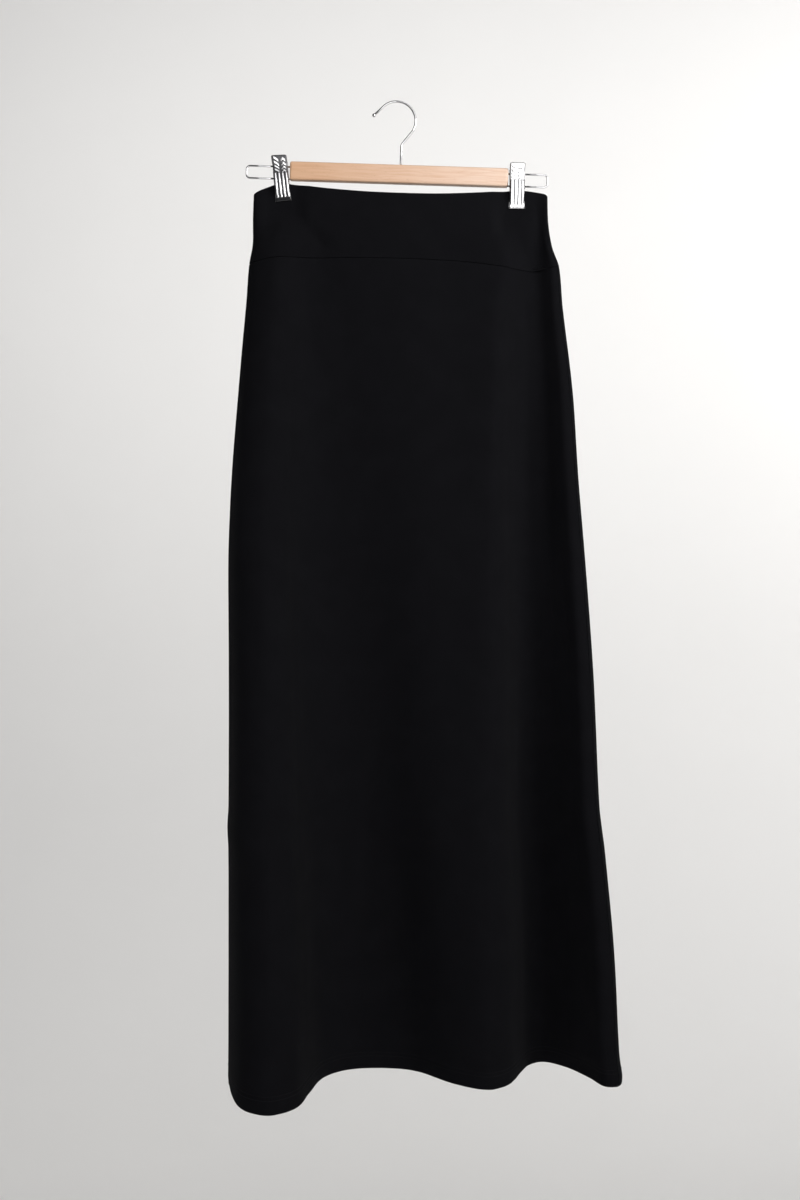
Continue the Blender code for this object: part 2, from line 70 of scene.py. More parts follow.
ALLOWANCE_ROLL = 1.0  # it starts to turn this far above the seam
ALLOWANCE_TURN = 0.3
FOLD_STEPS = 6  # rows round a turned edge
SEAM_ROWS = (0.0, 0.25, 0.6, 1.1, 1.8, 3.0)  # down from the waistband seam
HEM_CLEAR = 8.0  # the even rows stop this far above the turn-up's end
HEM_ROWS = (-4.0, -1.0, 0.5, 1.6, 2.8, 4.5, 8.0, 11.0, 14.0, 16.5)  # down from that end
TURN_UP_ROWS = (0.0, 4.0, 9.0, 14.0, 18.5)  # up inside from the hem's edge

SeamPoint = namedtuple("SeamPoint", "x drop")
SEAM_LINE = (
    SeamPoint(-170.0, 94.0),
    SeamPoint(-128.0, 87.5),
    SeamPoint(-50.0, 85.0),
    SeamPoint(65.0, 86.0),
    SeamPoint(138.0, 92.5),
    SeamPoint(186.0, 87.0),
)

Side = namedtuple("Side", "drop left right")
SIDES = (
    Side(0, -163.8, 172.4),
    Side(32, -164.8, 173.4),
    Side(60, -165.2, 178.0),
    Side(84, -169.2, 185.8),
    Side(130, -171.6, 189.6),
    Side(230, -179.0, 200.2),
    Side(330, -185.2, 206.2),
    Side(420, -187.4, 212.8),
    Side(560, -184.9, 221.6),
    Side(700, -183.6, 226.8),
    Side(724, -184.5, 229.2),
    Side(750, -182.9, 232.4),
    Side(860, -181.0, 242.2),
    Side(970, -179.8, 247.0),
    Side(990, -179.6, 249.7),
    Side(998, -179.5, 249.6),
)

# Fold lines, from the left side seam round the front to the right one, and back behind. "across" is
# the share of the way from the left side to the right side, at the waistband seam and at the hem.
Fold = namedtuple("Fold", "name across_seam out_seam across_hem out_hem")
FRONT_FOLDS = (
    Fold("left side seam", 0.004, 1.0, 0.000, 96.0),
    Fold("left turn", 0.023, 8.0, 0.045, 156.0),
    Fold("left crest", 0.077, 15.0, 0.115, 173.0),
    Fold("left shoulder", 0.116, 14.0, 0.178, 152.0),
    Fold("left flank", 0.153, 9.0, 0.203, 112.0),
    Fold("left foot", 0.184, 6.0, 0.233, 66.0),
    Fold("valley, near side", 0.223, 4.5, 0.292, 41.0),
    Fold("valley", 0.261, 6.0, 0.381, 32.0),
    Fold("valley, far side", 0.319, 9.0, 0.465, 38.0),
    Fold("middle rise", 0.486, 12.0, 0.553, 69.0),
    Fold("right crest, near side", 0.678, 13.0, 0.616, 84.0),
    Fold("right crest", 0.794, 17.0, 0.660, 85.0),
    Fold("right shoulder", 0.826, 16.0, 0.707, 67.0),
    Fold("right flank", 0.851, 11.0, 0.742, 32.0),
    Fold("right foot", 0.875, 5.0, 0.770, 8.0),
    Fold("trough", 0.902, 0.0, 0.812, -3.0),
    Fold("right rise", 0.930, 1.0, 0.870, 13.5),
    Fold("right lift", 0.956, 5.0, 0.917, 43.0),
    Fold("right roll", 0.976, 8.0, 0.947, 66.0),
    Fold("right side seam", 0.990, 6.0, 0.985, 64.0),
)
BACK_FOLDS = (
    Fold("right edge", 1.000, 0.0, 1.000, 44.0),
    Fold("right corner", 0.990, -6.0, 0.991, 12.0),
    Fold("right flat", 0.953, -9.5, 0.945, -8.0),
    Fold("behind the trough", 0.897, -10.5, 0.814, -11.5),
    Fold("right pleat, near foot", 0.865, -10.0, 0.747, -9.0),
    Fold("right pleat", 0.810, -6.5, 0.658, 24.0),
    Fold("right pleat, far foot", 0.746, -10.0, 0.563, -8.0),
    Fold("back middle", 0.490, -10.5, 0.381, -11.0),
    Fold("left pleat, near foot", 0.184, -10.0, 0.227, -8.0),
    Fold("left pleat, near side", 0.147, -7.0, 0.176, 36.0),
    Fold("left pleat", 0.108, -5.5, 0.115, 58.0),
    Fold("left pleat, far side", 0.068, -7.0, 0.064, 34.0),
    Fold("left pleat, far foot", 0.037, -9.5, 0.027, -5.0),
    Fold("left corner", 0.009, -6.5, -0.008, 3.0),
    Fold("left edge", 0.000, -2.5, -0.014, 45.0),
)
FOLDS = FRONT_FOLDS + BACK_FOLDS
RIGHT_SEAM = len(FRONT_FOLDS) - 1

# Creases, each a soft trough from one place to another, or a ridge where its depth is below zero.
# "bow" bends it sideways at the middle, and "width" is half its width.
Crease = namedtuple("Crease", "name side x drop x_end drop_end bow width depth")
CREASES = (
    Crease("drag from left clip", "front", -119, 27, -74, 78, -4, 5.0, 0.9),
    Crease("ridge above that drag", "front", -108, 26, -58, 70, -4, 6.0, -0.6),
    Crease("short drag, left clip", "front", -137, 30, -148, 74, 2, 4.0, 0.6),
    Crease("drag from right clip", "front", 123, 26, 84, 41, 3, 4.0, 0.5),
    Crease("long drag, right clip", "front", 128, 32, 104, 80, -3, 6.0, 0.5),
    Crease("beside right clip", "front", 152, 0, 166, 96, 3, 6.0, 2.2),
    Crease("below right clip", "front", 153, -60, 174, 480, 3, 9.0, 3.6),
    Crease("centre fold mark", "front", 5, 88, 8, 300, 1, 2.2, -0.35),
    Crease("packing fold, left part", "front", -186, 716, -60, 724, 2, 5.0, 0.45),
    Crease("packing fold, right part", "front", 30, 721, 236, 729, -3, 4.5, 0.5),
    Crease("below left clip", "front", -112, 96, -96, 214, 5, 9.0, 0.8),
    Crease("right of the middle", "front", 62, 104, 70, 250, -4, 12.0, 0.6),
    Crease("low valley crease", "front", -34, 640, -46, 930, 4, 9.0, 0.8),
    Crease("crest flat", "front", 92, 560, 98, 880, -3, 8.0, 0.6),
    Crease("left fold line", "front", -124, 40, -108, 600, 0, 8.0, 1.3),
    Crease("left fold line, low", "front", -111, 430, -78, 1040, -5, 8.5, 1.5),
    Crease("right fold line", "front", 112, 70, 105, 540, 0, 9.0, -0.9),
    Crease("right fold line, low", "front", 106, 430, 112, 996, 0, 9.0, -1.0),
    Crease("hem pull, left", "front", -92, 880, -84, 978, 1, 5.0, 0.6),
    Crease("hem pull, right", "front", 128, 900, 134, 976, -1, 4.5, 0.5),
    Crease("drag from left clip, behind", "back", -122, 29, -86, 76, -3, 5.5, 0.8),
    Crease("drag from right clip, behind", "back", 126, 30, 82, 66, 4, 5.0, 0.7),
    Crease("long drag, behind", "back", 141, 32, 158, 110, 3, 6.0, 0.6),
    Crease("centre fold mark, behind", "back", 6, 90, 9, 340, -1, 2.2, -0.3),
    Crease("sag at the seat", "back", -70, 150, 40, 168, 9, 11.0, 0.7),
    Crease("seat crease", "back", -20, 214, 96, 196, -7, 10.0, 0.5),
    Crease("packing fold, behind", "back", -170, 720, 190, 727, 3, 5.0, 0.45),
    Crease("back left run", "back", -44, 380, -60, 760, 6, 12.0, 0.8),
    Crease("back right run", "back", 38, 470, 52, 900, -5, 11.0, 0.7),
    Crease("hem pull, behind", "back", -18, 890, -24, 978, 1, 5.0, 0.5),
)
WAVER = 0.45  # how far the cloth wavers off a smooth fold
SMALL_WAVER = 0.4  # the smaller wavers' share of that
PUCKER = 0.30  # at the seams
SEAM_PUCKER_FADE = 7.0
SIDE_PUCKER_FADE = 6.0
SEAM_PLAIN = 1.5  # beside a seam the cloth is drawn flat
HEM_ROPING = 0.35  # slanting ripples between the hem's edge and its stitches
ROPING_SLANT = 0.6
STITCH_DENT = 0.25  # along the hem's upper stitches
STITCH_DENT_UP = 18.0
STITCH_DENT_WIDTH = 1.6

# How wide and high one ripple of the cloth is, and where in the noise it is taken.
Ripple = namedtuple("Ripple", "across down place")
RIPPLES = {
    "front": Ripple(46.0, 170.0, 3.0),
    "back": Ripple(46.0, 170.0, 9.0),
    "small": Ripple(17.0, 60.0, 21.0),
    "roping": Ripple(9.0, 60.0, 14.0),
}
SEAM_PUCKER = 8.0  # of one pucker, along the waistband seam
SIDE_PUCKER = 11.0  # down a side seam


def mix(first, second, share):
    return first + (second - first) * share


def ease(share):
    share = min(1.0, max(0.0, share))
    return share * share * (3.0 - 2.0 * share)


def smooth_through(knots, values, at):
    """Read, at one place, the smooth curve that passes through the values at the knots."""
    span = min(len(knots) - 2, max(0, bisect_right(knots, at) - 1))

    def slope(i):
        before, after = max(0, i - 1), min(len(knots) - 1, i + 1)
        return (values[after] - values[before]) / (knots[after] - knots[before])

    length = knots[span + 1] - knots[span]
    share = (at - knots[span]) / length
    bend = share * (1.0 - share) * length
    return mix(values[span], values[span + 1], ease(share)) + bend * (
        (1.0 - share) * slope(span) - share * slope(span + 1))


def read(table, column, by, at):
    """Read one column of a table between its rows, which stand in order of another column."""
    return smooth_through([getattr(row, by) for row in table],
                          [getattr(row, column) for row in table], at)


def side_at(drop, side):
    return read(SIDES, side, "drop", drop)


def seam_drop(x):
    return read(SEAM_LINE, "drop", "x", x)


def place(x, out, z):
    return Vector((x, -out, z)) * MM


def fold_ring(level):
    """Place of each fold line at one height: level 0 is the waistband seam and 1 is the hem."""
    drop = mix(SEAM_DROP, HEM_DROP, level)
    left, right = side_at(drop, "left"), side_at(drop, "right")
    swing = level ** LINE_BEND
    return [Vector((mix(left, right, mix(f.across_seam, f.across_hem, swing)),
                    mix(f.out_seam, f.out_hem, level))) for f in FOLDS]


def strips_of(first_fold, last_fold):
    """Strips of one panel, as (fold, share of the way to the next), narrow beside its two seams."""
    hem = fold_ring(1.0)
    strips = []
    for fold in range(first_fold, last_fold):
        length = (hem[(fold + 1) % len(hem)] - hem[fold % len(hem)]).length
        count = max(3, math.ceil(length / STRIP))
        shares = [step / count for step in range(count)]
        if fold == first_fold:
            shares = [0.0] + [e / length for e in EDGE_STRIPS] + shares[1:]
        if fold == last_fold - 1:
            shares = shares + [1.0 - e / length for e in reversed(EDGE_STRIPS)]
        strips += [(fold % len(hem), share) for share in sorted(shares)]
    return strips + [(last_fold % len(hem), 0.0)]


PANELS = {"front": strips_of(0, RIGHT_SEAM), "back": strips_of(RIGHT_SEAM, len(FOLDS))}


def round_ring(ring, strips):
    """Points along the smooth closed curve through a ring of folds, one at each strip's edge."""
    count = len(ring)
    around = [ring[i % count] for i in range(-2, count + 3)]
    knots = [0.0]
    for here, there in zip(around, around[1:]):
        knots.append(knots[-1] + max(KNOT_LEAST, (there - here).length) ** KNOT_POWER)
    xs, outs = [p.x for p in around], [p.y for p in around]
    points = []
    for fold, share in strips:
        at = mix(knots[fold + 2], knots[fold + 3], share)
        points.append(Vector((smooth_through(knots, xs, at), smooth_through(knots, outs, at))))
    return points


def crease_depth(side, x, drop):
    """Depth of all the creases of one side at one place."""
    depth = 0.0
    for crease in CREASES:
        if crease.side != side:
            continue
        run = Vector((crease.x_end - crease.x, crease.drop_end - crease.drop))
        from_start = Vector((x - crease.x, drop - crease.drop))
        share = from_start.dot(run) / run.length_squared
        if -0.1 < share < 1.1:
            sideways = from_start.cross(run) / run.length
            sideways -= crease.bow * 4.0 * share * (1.0 - share)
            if abs(sideways) < 4.0 * crease.width:
                taper = ease(4.0 * share) * ease(4.0 * (1.0 - share))
                depth += crease.depth * taper * math.exp(-(sideways / crease.width) ** 2)
    return depth


def roll_in(distance):
    """How far the cloth turns in at a distance from its seam."""
    inside = max(0.0, SEAM_ROLL - distance)
    return SEAM_ROLL - math.sqrt(SEAM_ROLL ** 2 - inside ** 2)


def ripple(kind, across, down):
    """Height of one kind of ripple at one place, from -1 to 1."""
    span = RIPPLES[kind]
    return noise.noise(Vector((across / span.across, down / span.down, span.place)))


def relief(side, x, drop, around, beside, above):
    """How far the cloth stands out at one place, "around" along the row, "beside" the nearer
    side seam and "above" the hem."""
    from_seam = abs(drop - seam_drop(x))
    waver = ripple(side, around, drop) + SMALL_WAVER * ripple("small", around, drop)
    pucker = noise.noise(Vector((around / SEAM_PUCKER, 5.0, 0.0))) * math.exp(
        -from_seam / SEAM_PUCKER_FADE)
    pucker += noise.noise(Vector((drop / SIDE_PUCKER, 8.0, 4.0))) * math.exp(
        -beside / SIDE_PUCKER_FADE)
    height = WAVER * waver + PUCKER * pucker - crease_depth(side, x, drop)
    if above < 2.0 * HEM_DEPTH:
        roping = ripple("roping", around + ROPING_SLANT * above, above)
        height += HEM_ROPING * roping * ease(2.0 - above / HEM_DEPTH)
        height -= STITCH_DENT * math.exp(-((above - STITCH_DENT_UP) / STITCH_DENT_WIDTH) ** 2)
    height *= ease(from_seam / SEAM_PLAIN) * ease(beside / SEAM_PLAIN)
    return height - max(roll_in(from_seam), roll_in(beside))


def cloth_row(side, ring, drop_at, inset, lower, above, loose=lambda x, drop: 1.0):
    """One row of a panel: its points, and their distances along it from its first seam.

    The row lies "inset" inside the fold lines' curve and "lower" below its own drop, which places
    the rows of a turned edge.
    """
    flat = ring(PANELS[side])
    along = [(flat[min(i + 1, len(flat) - 1)] - flat[max(i - 1, 0)]).normalized()
             for i in range(len(flat))]
    arc = [0.0]
    for here, there in zip(flat, flat[1:]):
        arc.append(arc[-1] + (there - here).length)
    points = []
    for spot, way, at in zip(flat, along, arc):
        drop = drop_at(spot.x)
        beside = min(at, arc[-1] - at)
        stand = relief(side, spot.x, drop, at, beside, above) * loose(spot.x, drop)
        gap = SEAM_GAP / 2.0 * max(0.0, 1.0 - beside / 4.0)
        trimmed = spot + way * (gap if at < arc[-1] / 2.0 else -gap)
        trimmed += Vector((-way.y, way.x)) * (stand - inset)
        z = -WAIST_LINE - drop - lower - HANG_SLOPE * spot.x
        points.append(place(trimmed.x, trimmed.y, z))
    return points, arc


def loose_object(name, mesh):
    data = bpy.data.meshes.new(name)
    mesh.to_mesh(data)
    mesh.free()
    piece = bpy.data.objects.new(name, data)
    bpy.context.scene.collection.objects.link(piece)
    return piece


def finish_piece(name, mesh, finish, slot, *nodes):
    """Turn a mesh into a smooth-shaded piece that stands for its nodes."""
    piece = loose_object(name, mesh)
    piece.data.materials.append(finish.material)
    piece.data.shade_smooth()
    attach(piece, "root")
    if nodes:
        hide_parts(*nodes)
    return piece


def sew_panel(name, rows, node, finish, slot):
    """Make a cloth piece from its rows, with the flat cut as its UV map, and give it thickness."""
    columns = len(rows[0][0])
    mesh = bmesh.new()
    bmesh.ops.create_grid(mesh, x_segments=columns - 1, y_segments=len(rows) - 1, size=1.0)
    cut = mesh.loops.layers.uv.new("cut")
    down = [0.0]
    for (upper, _), (under, _) in zip(rows, rows[1:]):
        down.append(down[-1] + (under[columns // 2] - upper[columns // 2]).length)
    flat = {}
    for vert in mesh.verts:
        column = round((vert.co.x + 1.0) / 2.0 * (columns - 1))
        row = round((1.0 - vert.co.y) / 2.0 * (len(rows) - 1))
        points, arc = rows[row]
        vert.co = points[column]
        flat[vert] = Vector(((arc[column] - arc[-1] / 2.0) * MM, -down[row]))
    for face in mesh.faces:
        for loop in face.loops:
            loop[cut].uv = flat[loop.vert]
    piece = finish_piece(name, mesh, finish, slot, node)
    wall = piece.modifiers.new("Cloth", "SOLIDIFY")
    wall.thickness = CLOTH * MM
    wall.offset = -1.0
    return piece


class Value:
    """A socket of a finish. Arithmetic on it adds Math nodes."""

    def __init__(self, finish, socket):
        self.finish = finish
        self.socket = socket

    def __add__(self, other):
        return self.finish.maths("ADD", self, other)

    def __sub__(self, other):
        return self.finish.maths("SUBTRACT", self, other)

    def __rsub__(self, other):
        return self.finish.maths("SUBTRACT", other, self)

    def __mul__(self, other):
        return self.finish.maths("MULTIPLY", self, other)

    __radd__ = __add__
    __rmul__ = __mul__


class Finish:
    """One material, on the Principled shader, with the values that are the same all over it."""

    def __init__(self, name, constants):
        self.material = bpy.data.materials.new(name)
        self.material.use_nodes = True
        self.nodes = self.material.node_tree.nodes
        self.links = self.material.node_tree.links
        for socket, value in constants.items():
            self.shade(socket, value)

    def add(self, kind, settings, sockets, output=0):
        """Add any node: its settings first, then the values or links of its sockets."""
        node = self.nodes.new(kind)
        for setting, value in settings.items():
            if setting == "stops":
                for stop, (position, colour) in zip(node.color_ramp.elements, value):
                    stop.position, stop.color = position, colour
            else:
                setattr(node, setting, value)
        for socket, value in sockets.items():
            self.join(value, node.inputs[socket])
        return Value(self, node.outputs[output])

    def join(self, value, socket):
        if isinstance(value, Value):
            self.links.new(value.socket, socket)
        else:
            socket.default_value = value

    def shade(self, socket, value):
        self.join(value, self.nodes["Principled BSDF"].inputs[socket])

    def maths(self, operation, *values):
        return self.add("ShaderNodeMath", {"operation": operation}, dict(enumerate(values)))

    def blend(self, first, second, share):
        """Mix two colours."""
        return self.add("ShaderNodeMix", {"data_type": "RGBA"},
                        {"Factor": share, "A": first, "B": second}, "Result")

    def on_object(self):
        """Where a point of the piece is."""
        return self.add("ShaderNodeTexCoord", {}, {}, "Object")

    def split(self, vector):
        """X, Y and Z of a vector."""
        first = self.add("ShaderNodeSeparateXYZ", {}, {"Vector": vector})
        return [Value(self, socket) for socket in first.socket.node.outputs]

    def noise(self, vector, scale, detail=2.0):
        return self.add("ShaderNodeTexNoise", {}, {
            "Vector": vector, "Scale": scale, "Detail": detail})

    def bump(self, height, depth, strength=1.0):
        self.shade("Normal", self.add("ShaderNodeBump", {}, {
            "Strength": strength, "Distance": depth, "Height": height}))


# Double knit: wales run down each panel's cut and courses across it.
WALE = 0.75  # from one column of stitches to the next
COURSE = 0.55  # from one row to the next
KNIT_DEPTH = 0.10
# Painted shade: the deep gaps between the stitches are darker than the raised loops.
KNIT_SHADED_GAP = (0.0044, 0.0044, 0.0053, 1.0)
KNIT_RAISED = (0.0073, 0.0073, 0.0088, 1.0)
KNIT_PALE = (0.0085, 0.0085, 0.0102, 1.0)  # in faint patches
knit = Finish("black_knit", {"Specular IOR Level": 0.01, "Sheen Weight": 0.01,
                             "Sheen Roughness": 0.5})
on_cut = knit.add("ShaderNodeUVMap", {"uv_map": "cut"}, {})
across_cut, down_cut, _ = knit.split(on_cut)
in_wale = knit.maths("ABSOLUTE", knit.maths("FRACT", across_cut * (1.0 / (WALE * MM))) - 0.5)
leg = knit.maths("SINE", in_wale * (2.0 * math.pi))
course = knit.maths("SINE", (down_cut * (1.0 / (COURSE * MM)) + in_wale * 1.4) * (2.0 * math.pi))
stitch = leg * (course * 0.25 + 0.75)
patchy = knit.noise(on_cut, 34.0, 4.0)
fuzz = knit.noise(on_cut, 2600.0)
# Painted shade in the gaps between the stitches.
gap_shade_painted = knit.blend(KNIT_SHADED_GAP, KNIT_RAISED, stitch)
knit.shade("Base Color", knit.blend(gap_shade_painted, KNIT_PALE, (patchy - 0.4) * 1.1))
knit.shade("Roughness", patchy * 0.14 + 0.82)
knit.bump(stitch + fuzz * 0.5, KNIT_DEPTH * MM, 0.55)


def skirt_rows(side):
    """Rows of a skirt panel: from its seam allowance down to the hem's edge, round it, and up
    inside to the turn-up's end."""
    length = HEM_DROP - SEAM_DROP
    edge = HEM_WALL / 2.0
    turn_up_end = length - HEM_DEPTH
    drops = list(SEAM_ROWS)
    while drops[-1] + ROW < turn_up_end - HEM_CLEAR:
        drops.append(drops[-1] + ROW)
    drops += [turn_up_end + below for below in HEM_ROWS] + [length - edge]
    laid = [(0.0, ALLOWANCE_INSET, -ALLOWANCE), (0.0, ALLOWANCE_INSET, -ALLOWANCE_ROLL),
            (0.0, ALLOWANCE_INSET - ALLOWANCE_TURN, 0.0)]
    laid += [(drop / length, 0.0, 0.0) for drop in drops]
    bottom = laid[-1][0]
    laid += [(bottom, edge * (1.0 - math.cos(math.pi * step / FOLD_STEPS)),
              edge * math.sin(math.pi * step / FOLD_STEPS)) for step in range(1, FOLD_STEPS)]
    laid += [((length - edge - rise) / length, HEM_WALL, 0.0) for rise in TURN_UP_ROWS]
    rows = []
    for level, inset, lower in laid:
        rows.append(cloth_row(
            side, lambda strips, level=level: round_ring(fold_ring(level), strips),
            lambda x, level=level: mix(seam_drop(x) + SEAM_GAP / 2.0, HEM_DROP, level),
            inset, lower, (1.0 - level) * length))
    return rows


for side in ("front", "back"):
    sew_panel(f"skirt_{side}_cloth", skirt_rows(side), f"skirt_{side}",
                            knit, "black_knit")

# Waistband, front and back: wide shaped pieces of the same knit, doubled over along the top edge
# and sewn to the skirt along the bottom. The clips pinch both layers of both halves, and the top
# edge sags between the clips and droops past them.
BAND_WALL = 2.4  # two layers and the air between them
WAIST_SAG = 9.5
LEFT_DROOP = 14.0
RIGHT_DROOP = 5.0
LEFT_DROOP_CURVE = 1.3
RIGHT_DROOP_CURVE = 2.0
WAIST_BOW = 10.0  # half the opening at the waist
WAIST_TURN = 5.0  # radius of the cloth where it turns round at each side
CLIP_LEFT = -131.0
CLIP_RIGHT = 137.6
GRIP_WIDTH = 13.0  # half the width of cloth that a clip holds flat
GRIP_DEPTH = 27.0
GRIP_FADE_SIDE = 19.0
GRIP_FADE_DOWN = 36.0
BAND_ROW = 3.2
BAND_SEAM_ROWS = (2.2, 1.3, 0.7, 0.3, 0.0)  # up from the seam
BAND_INSIDE_ROWS = 12


def waist_half(across):
    """Half the opening at the top edge, where two layers bow apart and turn round at each side."""
    width = SIDES[0].right - SIDES[0].left
    inside = min(across, 1.0 - across) * width
    if inside < WAIST_TURN:
        return math.sqrt(WAIST_TURN ** 2 - (WAIST_TURN - inside) ** 2)
    return mix(WAIST_TURN, WAIST_BOW, ease(2.0 * inside / width))


def band_ring(level):
    """Place of each fold line in the waistband: level 0 is the top edge and 1 is the seam."""
    left, right = side_at(level * SEAM_DROP, "left"), side_at(level * SEAM_DROP, "right")
    ring = []
    for number, fold in enumerate(FOLDS):
        half = waist_half(fold.across_seam)
        out = mix(half if number <= RIGHT_SEAM else -half, fold.out_seam, ease(level))
        ring.append(Vector((mix(left, right, fold.across_seam), out)))
    return ring


def held_flat(x, drop):
    """How firmly the clips hold the cloth at one place, from 0 to 1."""
    beside = min(abs(x - CLIP_LEFT), abs(x - CLIP_RIGHT)) - GRIP_WIDTH
    below = drop - GRIP_DEPTH
    return (1.0 - ease(beside / GRIP_FADE_SIDE)) * (1.0 - ease(below / GRIP_FADE_DOWN))


def waist_drop(x):
    """Height of the top edge: it sags between the clips and droops past them."""
    middle = (CLIP_LEFT + CLIP_RIGHT) / 2.0
    half = (CLIP_RIGHT - CLIP_LEFT) / 2.0
    past = abs(x - middle) - half
    if past <= 0.0:
        return WAIST_SAG * (1.0 - ((x - middle) / half) ** 2)
    if x < middle:
        return LEFT_DROOP * (past / (CLIP_LEFT - SIDES[0].left)) ** LEFT_DROOP_CURVE
    return RIGHT_DROOP * (past / (SIDES[0].right - CLIP_RIGHT)) ** RIGHT_DROOP_CURVE


def band_rows(side):
    """Rows of a waistband half: up inside from the seam, over the top edge and down to the seam."""
    pinch = (SEAM_GAP / 2.0 + BAND_WALL) * (1.0 if side == "front" else -1.0)
    edge = BAND_WALL / 2.0
    top = edge / SEAM_DROP

    def ring_at(level):
        def ring(strips):
            points = round_ring(band_ring(level), strips)
            for point in points:
                point.y = mix(point.y, pinch, held_flat(point.x, level * SEAM_DROP))
            return points
        return ring

    count = round(SEAM_DROP / BAND_ROW)
    outer = [mix(top, 1.0, step / count) for step in range(count)]
    outer += [1.0 - e / SEAM_DROP for e in BAND_SEAM_ROWS]
    inner = [mix(1.0, top, step / BAND_INSIDE_ROWS) for step in range(BAND_INSIDE_ROWS + 1)]
    laid = [(level, BAND_WALL, 0.0) for level in inner]
    laid += [(top, edge * (1.0 + math.cos(math.pi * step / FOLD_STEPS)),
              -edge * math.sin(math.pi * step / FOLD_STEPS)) for step in range(1, FOLD_STEPS)]
    laid += [(level, 0.0, 0.0) for level in outer]
    rows = []
    for level, inset, lower in laid:
        rows.append(cloth_row(
            side, ring_at(level),
            lambda x, level=level: mix(waist_drop(x), seam_drop(x) - SEAM_GAP / 2.0, level),
            inset, lower, HEM_DROP, lambda x, drop: 1.0 - held_flat(x, drop)))
    return rows


for side in ("front", "back"):
    sew_panel(f"waistband_{side}_cloth", band_rows(side), f"waistband_{side}",
                           knit, "black_knit")

# Hem stitching: two rows of black thread, 4 mm apart, that hold the turned-up hem. Each stitch is a
# short plump bar of thread that sinks a little into the knit at both ends.
STITCH_LENGTH = 2.5
STITCH_PITCH = 3.2
STITCH_WIDTH = 0.55
STITCH_HEIGHT = 0.4
STITCH_ROWS = (14.0, 18.0)  # up from the hem's edge
STITCH_FREE = 4  # strips without stitches beside a side seam
END_ON = Matrix.Rotation(math.pi / 2.0, 4, "Y")
THREAD_DARK = (0.004, 0.004, 0.0048, 1.0)
THREAD_LIGHT = (0.009, 0.009, 0.0105, 1.0)
THREAD_DEPTH = 0.05

thread = Finish("black_thread", {"Specular IOR Level": 0.12})
on_thread = thread.on_object()
twist = thread.noise(on_thread, 2400.0)
thread.shade("Base Color", thread.blend(THREAD_DARK, THREAD_LIGHT, twist))
thread.shade("Roughness", twist * 0.2 + 0.5)
thread.bump(twist, THREAD_DEPTH * MM, 0.6)


def stitch_row(mesh, points):
    """Lay stitches end to end along a line of points on the cloth."""
    travelled, next_stitch = 0.0, STITCH_PITCH / 2.0
    for here, there in zip(points, points[1:]):
        length = (there - here).length / MM
        while travelled + length > next_stitch:
            spot = here.lerp(there, (next_stitch - travelled) / length)
            way = (there - here).normalized()
            turn = way.to_track_quat("X", "Z").to_matrix().to_4x4()
            size = Matrix.Diagonal((STITCH_LENGTH, STITCH_WIDTH, STITCH_HEIGHT, 1.0))
            bmesh.ops.create_uvsphere(
                mesh, u_segments=6, v_segments=4, radius=MM / 2.0,
                matrix=Matrix.Translation(spot) @ turn @ size @ END_ON)
            next_stitch += STITCH_PITCH
        travelled += length


for side in ("front", "back"):
    mesh = bmesh.new()
    for above in STITCH_ROWS:
        level = 1.0 - above / (HEM_DROP - SEAM_DROP)
        line, _ = cloth_row(
            side, lambda strips: round_ring(fold_ring(level), strips),
            lambda x: mix(seam_drop(x) + SEAM_GAP / 2.0, HEM_DROP, level), 0.0, 0.0, above)
        stitch_row(mesh, line[STITCH_FREE:-STITCH_FREE])
    finish_piece(f"hem_stitches_{side}", mesh, thread, "black_knit")

# Wooden bar: planed beech with rounded edges and a clear satin varnish, bored at the top for the
# hook and at both ends for the wire loops. Fine grain runs along it, with short dark flecks.
HANG = Matrix.Rotation(math.radians(HANG_LEAN), 4, "Y")
BAR_CENTRE_X = 5.0
BAR_CENTRE_Z = -82.6
BAR_LENGTH = 250.0
BAR_HEIGHT = 21.4
BAR_THICKNESS = 9.0
BAR_ROUNDING = 2.5
STEM_X = 6.5
STEM_SET = 13.0  # how deep the stem sits in the bar
HOOK_WIRE = 1.2  # radius
LOOP_WIRE = 1.0
LOOP_Z = -84.7
LOOP_SPREAD = 14.0  # between the loop's two runs
LOOP_SET = 10.0  # how deep the wires sit in the bar
BORE_PLAY = 0.3
# The bar is painted darker towards its left end as shade away from the key light, and paler towards
# its right end as light near it.
BEECH_SHADED_LEFT = (0.75, 0.44, 0.26, 1.0)  # warmer, away from the key light
BEECH_LIT_RIGHT = (0.77, 0.57, 0.45, 1.0)
BEECH_STREAK = (0.60, 0.32, 0.165, 1.0)
BEECH_FIGURE = (0.84, 0.60, 0.42, 1.0)
BEECH_FLECK = (0.40, 0.20, 0.10, 1.0)
GRAIN_DEPTH = 0.06

beech = Finish("beech", {"Coat Weight": 0.25, "Coat Roughness": 0.22, "Specular IOR Level": 0.4})
on_bar = beech.on_object()
along_bar = beech.add("ShaderNodeMapping", {}, {
    "Vector": on_bar, "Rotation": (0.0, math.radians(-HANG_LEAN), 0.0)})
bar_x, bar_y, bar_z = beech.split(along_bar)
warp = beech.noise(along_bar, 14.0, 3.0)
stretched = beech.add("ShaderNodeCombineXYZ", {}, {
    "X": bar_x * 0.045, "Y": bar_y + warp * 0.004, "Z": bar_z + warp * 0.006})
streak = beech.noise(stretched, 620.0, 4.0)
figure = beech.noise(stretched, 130.0, 3.0)
short = beech.add("ShaderNodeCombineXYZ", {}, {"X": bar_x * 0.16, "Y": bar_y, "Z": bar_z})
fleck = beech.add("ShaderNodeValToRGB", {"stops": (
    (0.66, (0.0, 0.0, 0.0, 1.0)), (0.76, (1.0, 1.0, 1.0, 1.0)))}, {
    "Fac": beech.noise(short, 1500.0)})
